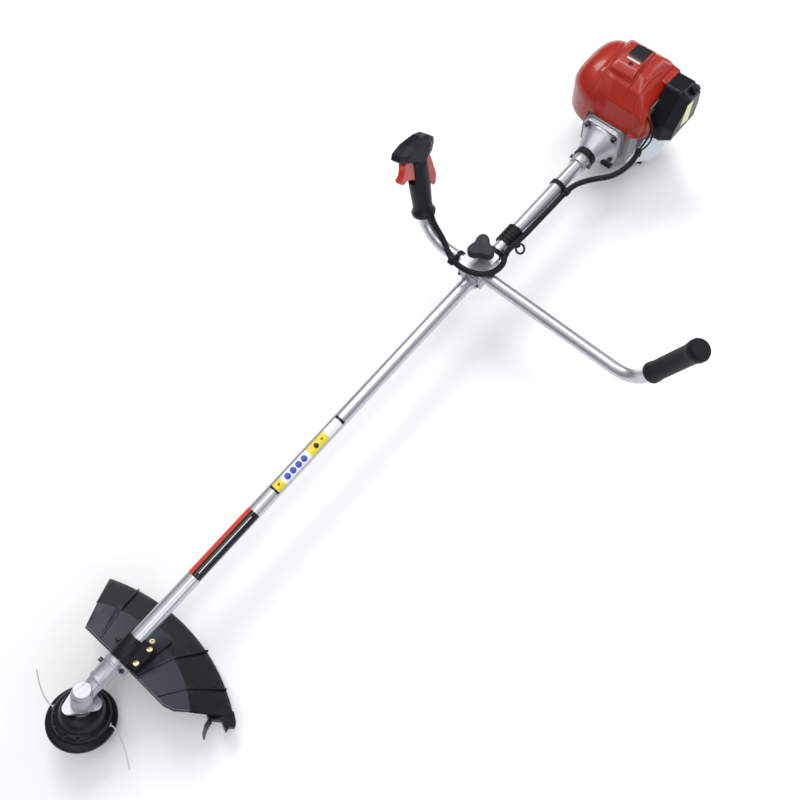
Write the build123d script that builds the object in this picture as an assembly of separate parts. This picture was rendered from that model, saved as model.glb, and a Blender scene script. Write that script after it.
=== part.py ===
from build123d import *
from functools import cache
from math import acos, cos, degrees, pi, radians, sin, sqrt, tan
import os

# Petrol brush cutter, in millimetres.
# +Z up, +X along the shaft towards the cutting head, +Y to the operator's left.
# The origin is the middle of the underside of the engine's stand, which is the level of the ground.

# Drive shaft and its tube
SHAFT_Z = 135.0
TUBE_R = 14.0
TUBE_WALL = 1.5
TUBE_START = 99.0
TUBE_END = 1440.0
DRIVE_R = 4.0
BUSH_COUNT = 5

# Clutch housing
FLANGE_X = 52.0
FLANGE_HALF = 42.0
FLANGE_THICK = 10.0
BOLT_HALF = 32.0
CONE_END = 108.0
DRUM_FRONT = 81.0
DRUM_BORE_R = 25.0
BEARING_START = 86.0
COLLAR_X = 117.0
COLLAR_R = 18.0

# Engine
FAN_BACK = 8.0
FAN_FRONT = 42.0
CASE_BACK = -62.0
SHROUD_WALL = 2.5
SHROUD_Z = SHAFT_Z + 8.0
CYL_Z0 = SHAFT_Z + 46.0
CYL_Z1 = SHAFT_Z + 104.0
CYL_X = -17.0
BORE_R = 17.5
MUFFLER_Z = SHAFT_Z - 16.0
START_X = -117.0
START_Z = SHAFT_Z + 20.0

# Fuel tank, its filler cap, carburettor and air cleaner
TANK_TOP = SHAFT_Z - 30.0
TANK_LOW = SHAFT_Z - 93.0
CAP_X = -62.0
CAP_Y = -98.0
CAP_Z = SHAFT_Z - 58.0
CAP_AXIS = (0, -0.94, 0.342)
CARB_Z = SHAFT_Z + 66.0
AIR_BACK = 62.5
AIR_SPLIT = 80.0
AIR_FRONT = 117.0
AIR_SIDE = [(4, SHAFT_Z + 12), (-2, SHAFT_Z + 52), (-44, SHAFT_Z + 112), (-92, SHAFT_Z + 104),
            (-100, SHAFT_Z + 60),
            (-98, SHAFT_Z + 12)]

# Handlebar
BAR_X = 461.0
BAR_Z = SHAFT_Z + 27.0
BAR_R = 12.35
BAR_WALL = 1.5
LEFT_CORNER = 366.0
RIGHT_CORNER = -119.0
BAR_BEND_R = 60.0
RIGHT_BEND_R = 74.0
LEFT_LEAN = (-0.198, 0.364, 0.910)
RIGHT_LEAN = (-0.230, -0.290, 0.930)
LEFT_RISE = 182.0
RIGHT_RISE = 112.0
KNOB_X = 440.0
KNOB_TOP = SHAFT_Z + 82.0
KNOB_THICK = 18.0
LOBE_R = 11.9
LOBE_CENTRE_R = 15.8
WAIST_R = 22.0
CLAMP_BACK = KNOB_X - 22.0
CLAMP_FRONT = KNOB_X + 37.0
CLAMP_HALF = 27.0

# Pivots in the throttle grip, as (forward, up along the grip)
TRIGGER_PIVOT = (10.0, 178.0)
TRIGGER_PIN_R = 2.5
LOCK_PIVOT = (-21.0, 171.0)
LOCK_PIN_R = 1.8
PIN_HALF = 11.0

# Harness eye
EYE_X = 350.0
EYE_ANGLE = -36.0
EYE_LUG_R = 21.6
EYE_MAJOR = 9.6
EYE_WIRE = 2.2

# Control cable
CABLE_R = 6.0
MOUTH_SIDE = 19.0

# Cutting head: the spindle leans back from the shaft's line
APEX_X = 1484.3
SPINDLE_LEAN = 60.2
FLANGE_H = -85.9
HEAD_R = 59.75
PINION_TEETH = 13
GEAR_TEETH = 19
CONE_DISTANCE = 22.0
FACE_WIDTH = 7.0
DRIVE_END = TUBE_END + 6.0
CASE_BACK_X = 1402.0
CASE_CLAMP_R = 17.5
LOCATING_X = 1421.5

# Cutting line: each end's corner points as (out, side, up) from the spindle
LINE_R = 1.2
LINE_ANGLES = (118.0, 298.0)
LINE_ROUTE = ((47, 0, -73), (56, -1, -74), (68, -8, -75.5), (81, -20, -78), (92, -32, -80.5),
              (102, -45, -83), (111, -58, -85))

# Guard: heights along the spindle, arcs about a point ahead of it, outlines as (forward, left)
GUARD_TOP = 15.0
GUARD_RIM = -28.9
CREASE_R = 238.0
CREASE_FORWARD = 84.0
RIM_R = 369.0
RIM_FORWARD = 147.5
SKIN = 3.0
GUARD_CLAMP_X0 = 1357.0
GUARD_CLAMP_X1 = 1400.0
RIBS = (((-82, -60), (-150, -84), (-205, -108)), ((-82, 36), (-150, 55), (-216, 71)),
        ((-84, 88), (-128, 112), (-190, 148)))
CUTTER_BRACKET = ((-134, 158), (-131, 168), (-137, 176), (-144.5, 185), (-137, 204.5), (-146.5, 202.5),
                  (-154, 209.5),
                  (-160.5, 203.5), (-170, 188), (-150, 160))
CUTTER_BLADE = ((-136, 168), (-132.5, 164.5), (-121, 168), (-109.5, 176), (-103.5, 184.5), (-105, 187.5),
                (-115.5, 180.5),
                (-125.5, 176), (-133, 174.5))
LOW_BOLT = (-138.0, 8.0, GUARD_TOP + 6)
HIGH_BOLTS = ((-114.0, 27.0, GUARD_TOP + 38), (-87.0, 26.5, GUARD_TOP + 24))

UP_X = -cos(radians(SPINDLE_LEAN))
UP_Z = sin(radians(SPINDLE_LEAN))
HEAD = Plane(origin=(APEX_X, 0, SHAFT_Z), x_dir=(UP_Z, 0, -UP_X), z_dir=(UP_X, 0, UP_Z))

LOW = (Align.CENTER, Align.CENTER, Align.MIN)
parts = {}


# Shared shapes
def block(x0, x1, y0, y1, z0, z1):
    """A box between two corners."""
    middle = Pos((x0 + x1) / 2, (y0 + y1) / 2, (z0 + z1) / 2)
    return middle * Box(x1 - x0, y1 - y0, z1 - z0)


def rod_x(x0, x1, radius, y=0.0, z=SHAFT_Z):
    """A round bar along X."""
    return Plane(origin=(x0, y, z), x_dir=(0, 1, 0), z_dir=(1, 0, 0)) * Cylinder(radius, x1 - x0, align=LOW)


def ring_x(x0, x1, outer, inner, y=0.0, z=SHAFT_Z):
    """A round sleeve along X."""
    return rod_x(x0, x1, outer, y, z) - rod_x(x0 - 1, x1 + 1, inner, y, z)


def rod_y(y0, y1, radius, x, z):
    """A round bar along Y."""
    return Plane(origin=(x, y0, z), x_dir=(1, 0, 0), z_dir=(0, 1, 0)) * Cylinder(radius, y1 - y0, align=LOW)


def rod_z(z0, z1, radius, x, y):
    """A round bar along Z."""
    return Pos(x, y, z0) * Cylinder(radius, z1 - z0, align=LOW)


def rod_on(plane, h0, h1, radius, u=0.0, v=0.0):
    """A round bar along the normal of a plane."""
    return plane * (Pos(u, v, h0) * Cylinder(radius, h1 - h0, align=LOW))


def ring_on(plane, h0, h1, outer, inner, u=0.0, v=0.0):
    """A round sleeve along the normal of a plane."""
    return rod_on(plane, h0, h1, outer, u, v) - rod_on(plane, h0 - 1, h1 + 1, inner, u, v)


def block_on(plane, u0, u1, v0, v1, h0, h1):
    """A box between two corners given on a plane."""
    return plane * block(u0, u1, v0, v1, h0, h1)


def turned_on(plane, outline):
    """A solid of revolution about the normal of a plane, from (radius, height) points."""
    face = Plane.XZ * make_face(Polyline(*outline, close=True))
    return plane * revolve(face, Axis.Z)


def rounded(points, radius):
    """A flat polygon with every corner rounded."""
    face = make_face(Polyline(*points, close=True))
    return fillet(face.vertices(), radius)


def side_profile(points, radius, y0, y1):
    """An outline of (x, z) points, extruded along Y."""
    face = rounded(points, radius) if radius else make_face(Polyline(*points, close=True))
    return Plane(origin=(0, y1, 0), x_dir=(1, 0, 0), z_dir=(0, -1, 0)) * extrude(face, y1 - y0)


def front_profile(points, radius, x0, x1):
    """An outline of (y, z) points, extruded along X."""
    face = rounded(points, radius) if radius else make_face(Polyline(*points, close=True))
    return Plane(origin=(x0, 0, 0), x_dir=(0, 1, 0), z_dir=(1, 0, 0)) * extrude(face, x1 - x0)


def plan_profile(points, radius, z0, z1):
    """An outline of (x, y) points, extruded along Z."""
    face = rounded(points, radius) if radius else make_face(Polyline(*points, close=True))
    return Pos(0, 0, z0) * extrude(face, z1 - z0)


def joined(*solids):
    """One solid from overlapping ones."""
    total = solids[0]
    for solid in solids[1:]:
        total = total + solid
    return total


def group(*solids):
    """Separate solids in one sub-part."""
    return Compound(children=[piece for solid in solids for piece in solid.solids()])


def socket_screw(plane, head_r, head_h, shank_r, shank_l, u=0.0, v=0.0):
    """A hexagon socket screw, its head standing on the plane and its shank below."""
    head = rod_on(plane, 0, head_h, head_r, u, v)
    socket = plane * (Pos(u, v, head_h / 2) * extrude(RegularPolygon(head_r * 0.55, 6), head_h))
    return head - socket + rod_on(plane, -shank_l, 0, shank_r, u, v)


def ball_bearing(plane, h0, outer, inner, width):
    """An inner and an outer race with a ring of balls between them, as separate solids."""
    mean = (outer + inner) / 2
    ball = (outer - inner) * 0.26
    cut = plane * (Pos(0, 0, h0 + width / 2) * Torus(mean, ball + 0.05))
    races = [
        ring_on(plane, h0, h0 + width, outer, mean + ball * 0.45) - cut,
        ring_on(plane, h0, h0 + width, mean - ball * 0.45, inner) - cut,
    ]
    cage = plane * (Pos(0, 0, h0 + width / 2) * Torus(mean, ball * 0.95))
    return races + [cage]


# Shaft and its bearings
def shaft_tube():
    """The long aluminium tube between engine and cutting head."""
    return ring_x(TUBE_START, TUBE_END, TUBE_R, TUBE_R - TUBE_WALL)


def shaft_bushes():
    """Bushes that hold the drive shaft on the tube's centre line."""
    length = 24.0
    step = (TUBE_END - TUBE_START) / BUSH_COUNT
    bushes = []
    for index in range(BUSH_COUNT):
        start = TUBE_START + step * (index + 0.5) - length / 2
        bushes.append(ring_x(start, start + length, TUBE_R - TUBE_WALL, DRIVE_R + 0.06))
    return group(*bushes)


def clutch_housing():
    """A cast cone between the engine's flange and the tube, with the clutch drum inside."""
    corner = 13.0
    flange_back = FLANGE_X
    points = [(-FLANGE_HALF, -FLANGE_HALF), (FLANGE_HALF, -FLANGE_HALF),
              (FLANGE_HALF, FLANGE_HALF), (-FLANGE_HALF, FLANGE_HALF)]
    flange = Plane(origin=(flange_back, 0, SHAFT_Z), x_dir=(0, 1, 0), z_dir=(1, 0, 0)) * extrude(
        rounded(points, corner), FLANGE_THICK)
    cone_plane = Plane(origin=(0, 0, SHAFT_Z), x_dir=(0, 1, 0), z_dir=(1, 0, 0))
    cone = turned_on(cone_plane, [
        (0, FLANGE_X + 2), (40, FLANGE_X + 2), (40, FLANGE_X + FLANGE_THICK + 2), (36.5, 70), (33, 78),
        (21.5, CONE_END - 3),
        (19, CONE_END - 3), (19, CONE_END + 8), (0, CONE_END + 8)])
    body = flange + cone
    body = body - rod_x(FLANGE_X - 1, 84, DRUM_BORE_R + 3.5)
    body = body - rod_x(83, BEARING_START + 10, 16.0) - rod_x(90, TUBE_START, 13.0)
    body = body - rod_x(TUBE_START, CONE_END + 12, TUBE_R)
    for y in (-BOLT_HALF, BOLT_HALF):
        for z in (-BOLT_HALF, BOLT_HALF):
            seat = rod_x(FLANGE_X + FLANGE_THICK, FLANGE_X + 24, 5.6, y, SHAFT_Z + z)
            body = body - seat - rod_x(FLANGE_X - 1, FLANGE_X + 20, 3.0, y, SHAFT_Z + z)
    return body


def clutch_screws():
    """Four cap screws through the housing's flange and two in the tube collar."""
    screws = []
    face = Plane(origin=(FLANGE_X + FLANGE_THICK, 0, SHAFT_Z), x_dir=(0, 1, 0), z_dir=(1, 0, 0))
    for y in (-BOLT_HALF, BOLT_HALF):
        for z in (-BOLT_HALF, BOLT_HALF):
            screws.append(socket_screw(face, 5.2, 7.0, 3.0, 18.0, y, z))
    for side in (-1, 1):
        seat = Plane(origin=(COLLAR_X + 8, side * COLLAR_R, SHAFT_Z), x_dir=(1, 0, 0), z_dir=(0, side, 0))
        screws.append(socket_screw(seat, 4.2, 5.5, 2.4, COLLAR_R - TUBE_R, 0, 0))
    return group(*screws)


def front_ring():
    """A rubber ring round the neck of the clutch housing."""
    return ring_x(CONE_END - 3, CONE_END + 9, 22.0, 19.0) - rod_x(CONE_END + 8, CONE_END + 10, 14.0)


def tube_collar():
    """A clamp ring that locks the tube into the housing."""
    collar = ring_x(COLLAR_X, COLLAR_X + 20, COLLAR_R, TUBE_R)
    for side in (-1, 1):
        y0, y1 = sorted((side * (TUBE_R - 1), side * (COLLAR_R + 1)))
        collar = collar - rod_y(y0, y1, 2.4, COLLAR_X + 8, SHAFT_Z)
        seat0, seat1 = sorted((side * COLLAR_R, side * (COLLAR_R + 3)))
        collar = collar - rod_y(seat0, seat1, 4.6, COLLAR_X + 8, SHAFT_Z)
    return collar


# Drive: clutch drum, inner shaft and pinion turn together

def cone_angles():
    """Pitch cone half-angles of pinion and gear, in degrees, for shafts that meet at the spindle's lean."""
    sigma = radians(SPINDLE_LEAN)
    ratio = GEAR_TEETH / PINION_TEETH
    from_pinion = degrees(acos((ratio + cos(sigma)) / sqrt((ratio + cos(sigma)) ** 2 + sin(sigma) ** 2)))
    return from_pinion, SPINDLE_LEAN - from_pinion


def bevel_gear(plane, teeth, cone, phase, thin):
    """A straight bevel gear whose teeth all run to the origin of the plane, along its normal."""
    addendum = degrees(2 * CONE_DISTANCE * sin(radians(cone)) / teeth * 0.80 / CONE_DISTANCE)
    dedendum = addendum * 1.45
    far = CONE_DISTANCE * cos(radians(cone))
    near = (CONE_DISTANCE - FACE_WIDTH) * cos(radians(cone))
    tip_r = far * tan(radians(cone + addendum))
    root_r = far * tan(radians(cone - dedendum))
    pitch = 360 / teeth
    points = []
    for tooth in range(teeth):
        middle = phase + pitch * tooth
        for radius, offset in ((root_r, -0.34), (tip_r, -0.13), (tip_r, 0.13), (root_r, 0.34)):
            angle = radians(middle + pitch * offset * thin)
            points.append((radius * cos(angle), radius * sin(angle)))
    outline = make_face(Polyline(*points, close=True))
    outer = Pos(0, 0, far) * outline
    inner = Pos(0, 0, near) * scale(outline, by=near / far)
    return plane * loft([inner.face(), outer.face()], ruled=True), far, near, root_r


PINION_PLANE = Plane(origin=(APEX_X, 0, SHAFT_Z), x_dir=(0, 0, 1), z_dir=(-1, 0, 0))
GEAR_PLANE = Plane(origin=(APEX_X, 0, SHAFT_Z), x_dir=(-UP_Z, 0, UP_X), z_dir=(UP_X, 0, UP_Z))


def pinion():
    """The small bevel gear on its short shaft, with a socket for the drive shaft."""
    angle, _ = cone_angles()
    gear, far, near, root_r = bevel_gear(PINION_PLANE, PINION_TEETH, angle, 180 / PINION_TEETH, 0.93)
    back = APEX_X - far
    hub = rod_x(back - 1.5, back, root_r)
    shaft = rod_x(DRIVE_END - 14, back - 1.5, 6.0) - rod_x(DRIVE_END - 15, DRIVE_END, DRIVE_R)
    return gear + hub + shaft


def output_gear():
    """The larger bevel gear, on the spindle."""
    _, angle = cone_angles()
    gear, far, near, root_r = bevel_gear(GEAR_PLANE, GEAR_TEETH, angle, 0, 0.93)
    hub = rod_on(HEAD, far, far + 1.2, root_r)
    return gear + hub - rod_on(HEAD, 0, 40, 5.0)


def drive_shaft():
    """The solid steel shaft inside the tube."""
    return rod_x(DRUM_FRONT + 3, DRIVE_END, DRIVE_R)


def clutch_drum():
    """The cup that the clutch shoes grip, with its hub."""
    cup = ring_x(60, DRUM_FRONT, DRUM_BORE_R + 2, DRUM_BORE_R)
    web = rod_x(DRUM_FRONT - 3, DRUM_FRONT, DRUM_BORE_R + 2)
    hub = rod_x(DRUM_FRONT, TUBE_START - 1, 6.0)
    for index in range(6):
        hole = Plane(origin=(DRUM_FRONT - 4, 0, SHAFT_Z), x_dir=(0, 1, 0), z_dir=(1, 0, 0)) * (
            Rot(0, 0, 60 * index) * Pos(15, 0, 0) * Cylinder(3.5, 5, align=LOW))
        web = web - hole
    return cup + web + hub - rod_x(DRUM_FRONT + 3, TUBE_START, DRIVE_R)


def ball_bearings():
    """The bearings of the clutch drum, the crankshaft, the pinion and the spindle."""
    along = Plane(origin=(0, 0, SHAFT_Z), x_dir=(0, 1, 0), z_dir=(1, 0, 0))
    found = ball_bearing(along, BEARING_START, 16.0, 6.05, 10.0)
    found += ball_bearing(along, CASE_BACK + 4, 13.0, 6.05, 8.0)
    found += ball_bearing(along, FAN_BACK - 12, 13.0, 6.05, 8.0)
    found += ball_bearing(along, TUBE_END + 1, 11.5, 6.05, 7.0)
    found += ball_bearing(along, TUBE_END + 9, 11.5, 6.05, 7.0)
    found += ball_bearing(HEAD, 19.6, 11.0, 5.05, 6.4)
    found += ball_bearing(HEAD, -25.0, 13.0, 5.05, 8.0)
    return group(*found)


# Engine
def crankshaft():
    """The crankshaft, with one crank web and its pin."""
    shaft = rod_x(CASE_BACK - 30, FLANGE_X + 24, 6.0)
    web_x0 = -34.0
    web = rod_x(web_x0, web_x0 + 10, 24.0) - block(web_x0 - 1, web_x0 + 11, -40, -13, SHAFT_Z - 4, SHAFT_Z
                                                   + 40)
    web = web - block(web_x0 - 1, web_x0 + 11, 13, 40, SHAFT_Z - 4, SHAFT_Z + 40)
    pin = rod_x(web_x0 + 10, web_x0 + 24, 5.0, 0, SHAFT_Z + 13)
    return shaft + web + pin


def flywheel():
    """The magneto flywheel with its cooling blades."""
    x0 = 14.0
    disc = rod_x(x0, x0 + 12, 40.0)
    blades = []
    for index in range(16):
        blade = Plane(origin=(x0 + 12, 0, SHAFT_Z), x_dir=(0, 1, 0), z_dir=(1, 0, 0)) * (
            Rot(0, 0, 22.5 * index) * Pos(30, 0, 0) * Rot(0, 0, 18) * block(-12, 12, -1, 1, -1, 12))
        blades.append(blade)
    hub = rod_x(x0, x0 + 26, 11.0)
    return joined(disc, hub, *blades) - rod_x(x0 - 1, x0 + 40, 6.0)


def clutch_shoes():
    """Two shoes that swing out against the drum, and the plate that carries them."""
    x0 = 62.0
    x1 = 76.0
    outer = DRUM_BORE_R - 0.8
    ring = ring_x(x0, x1, outer, 13.0)
    gap = 2.0
    left = ring & block(x0, x1, gap, 40, SHAFT_Z - 40, SHAFT_Z + 40)
    right = ring & block(x0, x1, -40, -gap, SHAFT_Z - 40, SHAFT_Z + 40)
    plate = ring_x(55.0, x0, 20.0, 6.0)
    hub = ring_x(x0, x1 - 2, 11.5, 6.0)
    spring = Plane(origin=(x0 + 7, 0, SHAFT_Z), x_dir=(0, 1, 0), z_dir=(1, 0, 0)) * Torus(12.25, 0.6)
    return group(left, right, plate + hub, spring)


def fan_housing():
    """The cast housing round the flywheel, which carries the clutch housing's flange."""
    outline = [(-56, SHAFT_Z - 48), (-38, SHAFT_Z - 70), (38, SHAFT_Z - 70), (56, SHAFT_Z - 48),
               (56, SHAFT_Z + 30), (40, SHAFT_Z + 44), (-40, SHAFT_Z + 44), (-56, SHAFT_Z + 30)]
    shell = front_profile(outline, 8, FAN_BACK, FAN_FRONT)
    neck = front_profile([(-44, SHAFT_Z - 44), (44, SHAFT_Z - 44), (44, SHAFT_Z + 44), (-44, SHAFT_Z + 44)],
                         14, FAN_FRONT - 4, FLANGE_X)
    body = shell + neck
    body = body - rod_x(FAN_BACK - 1, FAN_FRONT - 3, 43.5) - rod_x(FAN_FRONT - 4, FLANGE_X + 1, 28.5)
    for y in (-BOLT_HALF, BOLT_HALF):
        for z in (-BOLT_HALF, BOLT_HALF):
            body = body - rod_x(FLANGE_X - 9, FLANGE_X + 1, 3.0, y, SHAFT_Z + z)
    return body


def crankcase():
    """The crankcase, split round the crank chamber."""
    body = front_profile([(-44, SHAFT_Z - 48), (44, SHAFT_Z - 48), (44, SHAFT_Z + 46), (-44, SHAFT_Z + 46)],
                         12, CASE_BACK, FAN_BACK)
    body = body - rod_x(CASE_BACK + 12, FAN_BACK - 12, 32.0)
    body = body - rod_x(CASE_BACK - 1, FAN_BACK + 1, 6.4)
    body = body - rod_x(CASE_BACK + 4, CASE_BACK + 13, 13.0) - rod_x(FAN_BACK - 13, FAN_BACK - 4, 13.0)
    return body - rod_z(SHAFT_Z + 20, CYL_Z0 + 1, BORE_R + 0.5, CYL_X, 0)


def cylinder():
    """The finned cylinder and head."""
    barrel = rod_z(CYL_Z0, CYL_Z1, BORE_R + 5, CYL_X, 0)
    fins = []
    for index in range(8):
        z0 = CYL_Z0 + 10 + index * 6
        fins.append(block(CYL_X - 30, CYL_X + 20, -36, 36, z0, z0 + 2))
    ports = block(CYL_X - 14, CYL_X + 14, -44, 44, SHAFT_Z + 50, SHAFT_Z + 78)
    plug_seat = rod_z(CYL_Z1 - 4, CYL_Z1 + 1, 5.0, CYL_X, 0)
    body = joined(barrel, ports, *fins)
    body = body - rod_z(CYL_Z0 - 1, CYL_Z1 - 8, BORE_R, CYL_X, 0)
    return body - rod_z(CYL_Z1 - 9, CYL_Z1 + 1, 4.0, CYL_X, 0) - plug_seat


def piston():
    """The piston with its ring grooves and gudgeon pin bore, at top dead centre."""
    top = CYL_Z1 - 10.0
    body = rod_z(top - 26, top, BORE_R - 0.05, CYL_X, 0) - rod_z(top - 27, top - 5, BORE_R - 3, CYL_X, 0)
    body = body - rod_y(-BORE_R, BORE_R, 4.0, CYL_X, top - 15)
    for index in range(3):
        z0 = top - 4 - index * 3
        body = body - (rod_z(z0, z0 + 1, BORE_R + 1, CYL_X, 0) - rod_z(z0 - 1, z0 + 2, BORE_R - 1, CYL_X, 0))
    return body


def spark_plug():
    """The spark plug in the head, with its cap."""
    thread = rod_z(CYL_Z1 - 8, CYL_Z1 - 4, 4.0, CYL_X, 0)
    seat = rod_z(CYL_Z1 - 4, CYL_Z1, 5.0, CYL_X, 0)
    hexagon = Pos(CYL_X, 0, CYL_Z1) * extrude(RegularPolygon(8, 6), 6)
    cap = rod_z(CYL_Z1 + 6, CYL_Z1 + 11, 6.5, CYL_X, 0)
    return thread + seat + hexagon + cap


def shroud_form(inset):
    """The moulded hood's outer form, or the same form drawn in by an inset."""
    side = [(47, SHROUD_Z), (45, SHAFT_Z + 44), (30, SHAFT_Z + 84), (6, SHAFT_Z + 112), (-22, SHAFT_Z + 128),
            (-76, SHAFT_Z + 132), (-96, SHAFT_Z + 112), (-100, SHROUD_Z)]
    front = [(-110, SHROUD_Z), (-115, SHAFT_Z + 45), (-109, SHAFT_Z + 78), (-92, SHAFT_Z + 102),
             (-66, SHAFT_Z + 120),
             (-46, SHAFT_Z + 133), (24, SHAFT_Z + 133), (50, SHAFT_Z + 116), (76, SHAFT_Z + 72),
             (86, SHROUD_Z)]
    plan = [(47, -60), (47, 52), (30, 80), (8, 85), (8, 60), (-100, 60), (-100, -84), (-86, -106),
            (-60, -115), (0, -115),
            (22, -102), (38, -80)]
    faces = []
    for outline in (side, front, plan):
        face = make_face(Polyline(*outline, close=True))
        if inset:
            face = offset(face, amount=-inset, kind=Kind.INTERSECTION)
        faces.append(face)
    side_face, front_face, plan_face = faces
    a = Plane(origin=(0, 110, 0), x_dir=(1, 0, 0), z_dir=(0, -1, 0)) * extrude(side_face, 240)
    b = Plane(origin=(-120, 0, 0), x_dir=(0, 1, 0), z_dir=(1, 0, 0)) * extrude(front_face, 180)
    c = Pos(0, 0, 60) * extrude(plan_face, 260)
    return a & b & c


def engine_shroud():
    """The hood over the cylinder and the muffler, with a raised panel, a rib and an air duct."""
    form = shroud_form(0)
    hollow = shroud_form(SHROUD_WALL)
    below = block(-200, 200, -200, 200, 0, SHROUD_Z + SHROUD_WALL + 1)
    hollow_low = Pos(0, 0, -SHROUD_WALL - 1) * (hollow & block(-200, 200, -200, 200, SHROUD_Z, SHROUD_Z
                                                               + 20))
    body = form - hollow - hollow_low
    body = body - block(7, 60, -58, 58, 0, SHAFT_Z + 47) - block(7, 60, 57, 90, 0, SHAFT_Z + 34)
    body = body - block(-99, 7, 55, 70, 0, SHAFT_Z + 84)
    duct = block(-86, -54, 50, 62, SHAFT_Z + 86, SHAFT_Z + 110)
    return body + (duct - hollow)


def starter_cover():
    """The rear cover over the recoil starter."""
    plane = Plane(origin=(0, 0, SHAFT_Z), x_dir=(0, 1, 0), z_dir=(1, 0, 0))
    form = turned_on(plane, [(0, -138), (46, -138), (56, -128), (58, -102), (0, -102)])
    hollow = turned_on(plane, [(0, -134), (44, -134), (53, -126), (55, -101), (0, -101)])
    body = form - hollow
    for index in range(9):
        slot = plane * (Rot(0, 0, 40 * index) * block(22, 40, -2.5, 2.5, -140, -132))
        body = body - slot
    guide = rod_y(-62, -50, 7, START_X, START_Z) - rod_y(-70, -40, 2.2, START_X, START_Z)
    post = rod_x(-135, -112, 6, 0, SHAFT_Z)
    return (body + guide + post) - rod_y(-60, -40, 2.2, START_X, START_Z)


def starter_pulley():
    """The rope pulley of the recoil starter."""
    body = ring_x(-126, -108, 28, 6.1) - ring_x(-121, -113, 40, 19.5)
    return body


def starter_handle():
    """The pull handle, its grip across the rope."""
    grip = Plane(origin=(START_X, -76, START_Z), x_dir=(1, 0, 0), z_dir=(0, 0, 1)) * extrude(
        rounded([(-15, -6), (15, -6), (15, 6), (-15, 6)], 5), 12, both=True)
    stem = rod_y(-71, -62.3, 5.5, START_X, START_Z)
    return grip + stem


def muffler():
    """The silencer box with its outlet, on the engine's right side."""
    box = plan_profile([(-70, -106), (-2, -106), (8, -92), (8, -58), (-70, -58)], 7, MUFFLER_Z, SHAFT_Z + 62)
    inner = [(-67, -103), (-4, -103), (5, -91), (5, -61), (-67, -61)]
    shell = box - plan_profile(inner, 5, MUFFLER_Z + 3, SHAFT_Z + 59)
    pipe = block(CYL_X - 12, CYL_X + 12, -60, -44, SHAFT_Z + 50, SHAFT_Z + 60)
    outlet = rod_y(-109, -104, 6, -50, SHAFT_Z)
    return shell + pipe + outlet - rod_y(-111, -101, 4, -50, SHAFT_Z)


def fuel_tank():
    """The blow-moulded tank below the crankcase, hollow, with a filler neck on the right."""
    outline = [(-80, TANK_LOW), (80, TANK_LOW), (94, TANK_LOW + 28), (94, TANK_TOP + 12),
               (62, TANK_TOP + 12),
               (56, SHAFT_Z - 52), (-56, SHAFT_Z - 52), (-62, TANK_TOP + 4), (-90, TANK_TOP + 4),
               (-94, TANK_LOW + 28)]
    plan = [(-96, -96), (-96, 96), (-44, 96), (6, 44), (6, -44), (-44, -96)]
    form = front_profile(outline, 5, -96, FAN_BACK - 2) & plan_profile(plan, 6, 0, SHAFT_Z)
    wall = 2.5
    inner = offset(rounded(outline, 5), amount=-wall, kind=Kind.INTERSECTION)
    inner_plan = offset(rounded(plan, 6), amount=-wall, kind=Kind.INTERSECTION)
    hollow = Plane(origin=(-120, 0, 0), x_dir=(0, 1, 0), z_dir=(1, 0, 0)) * extrude(inner, 160)
    hollow = hollow & extrude(inner_plan, SHAFT_Z)
    neck = Plane(origin=(CAP_X, CAP_Y, CAP_Z), x_dir=(1, 0, 0), z_dir=CAP_AXIS)
    body = form + rod_on(neck, -22, 4, 15) - hollow
    return body - rod_on(neck, -30, 5, 12)


def fuel_cap():
    """The screw cap on the filler neck."""
    neck = Plane(origin=(CAP_X, CAP_Y, CAP_Z), x_dir=(1, 0, 0), z_dir=CAP_AXIS)
    skirt = rod_on(neck, 4.05, 16, 20)
    plug = rod_on(neck, -6, 4.05, 11.9)
    cap = skirt + plug
    for index in range(16):
        groove = neck * (Rot(0, 0, 22.5 * index) * Pos(20.6, 0, 3) * Cylinder(1.6, 14, align=LOW))
        cap = cap - groove
    return cap


def engine_stand():
    """The cradle under the tank that the machine rests on, with an arm up to the fan housing."""
    back = -92.0
    front = -38.0
    feet = []
    for side in (-1, 1):
        y0, y1 = sorted((side * 38, side * 58))
        outline = [(back, 0), (front, 0), (front, 12), (front - 6, TANK_LOW), (back + 6, TANK_LOW),
                   (back, 12)]
        feet.append(side_profile(outline, 0, y0, y1))
    bars = block(back + 8, back + 20, -40, 40, 0, 12) + block(front - 12, front, -40, 40, 0, 12)
    arm = block(front - 2, 13, -12, 12, 0, 10)
    post = block(7, 13, -12, 12, 0, SHAFT_Z - 70) + block(7, 13, -30, 12, SHAFT_Z - 84, SHAFT_Z - 70)
    return joined(*feet, bars, arm, post)


def carburetor():
    """The carburettor block between the cylinder's inlet and the air cleaner."""
    body = block(CYL_X - 20, CYL_X + 16, 44, 62, CARB_Z - 16, CARB_Z + 16)
    bowl = rod_z(CARB_Z - 24, CARB_Z - 15, 9, CYL_X, 53)
    body = body + bowl
    return body - rod_y(40, 70, 7, CYL_X, CARB_Z) - rod_z(CARB_Z + 8, CARB_Z + 17, 2.55, CYL_X + 12, 53)


def carb_throttle_lever():
    """The lever on the carburettor's throttle spindle."""
    spindle = Cylinder(2.5, 11, align=LOW)
    outline = [(-2.8, -3), (3, -3), (16, -2), (16, 2), (3, 3), (-2.8, 3)]
    arm = Pos(0, 0, 9) * Rot(0, 0, -50) * extrude(rounded(outline, 1.8), 2)
    return Pos(CYL_X + 12, 53, CARB_Z + 8) * (spindle + arm)


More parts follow.
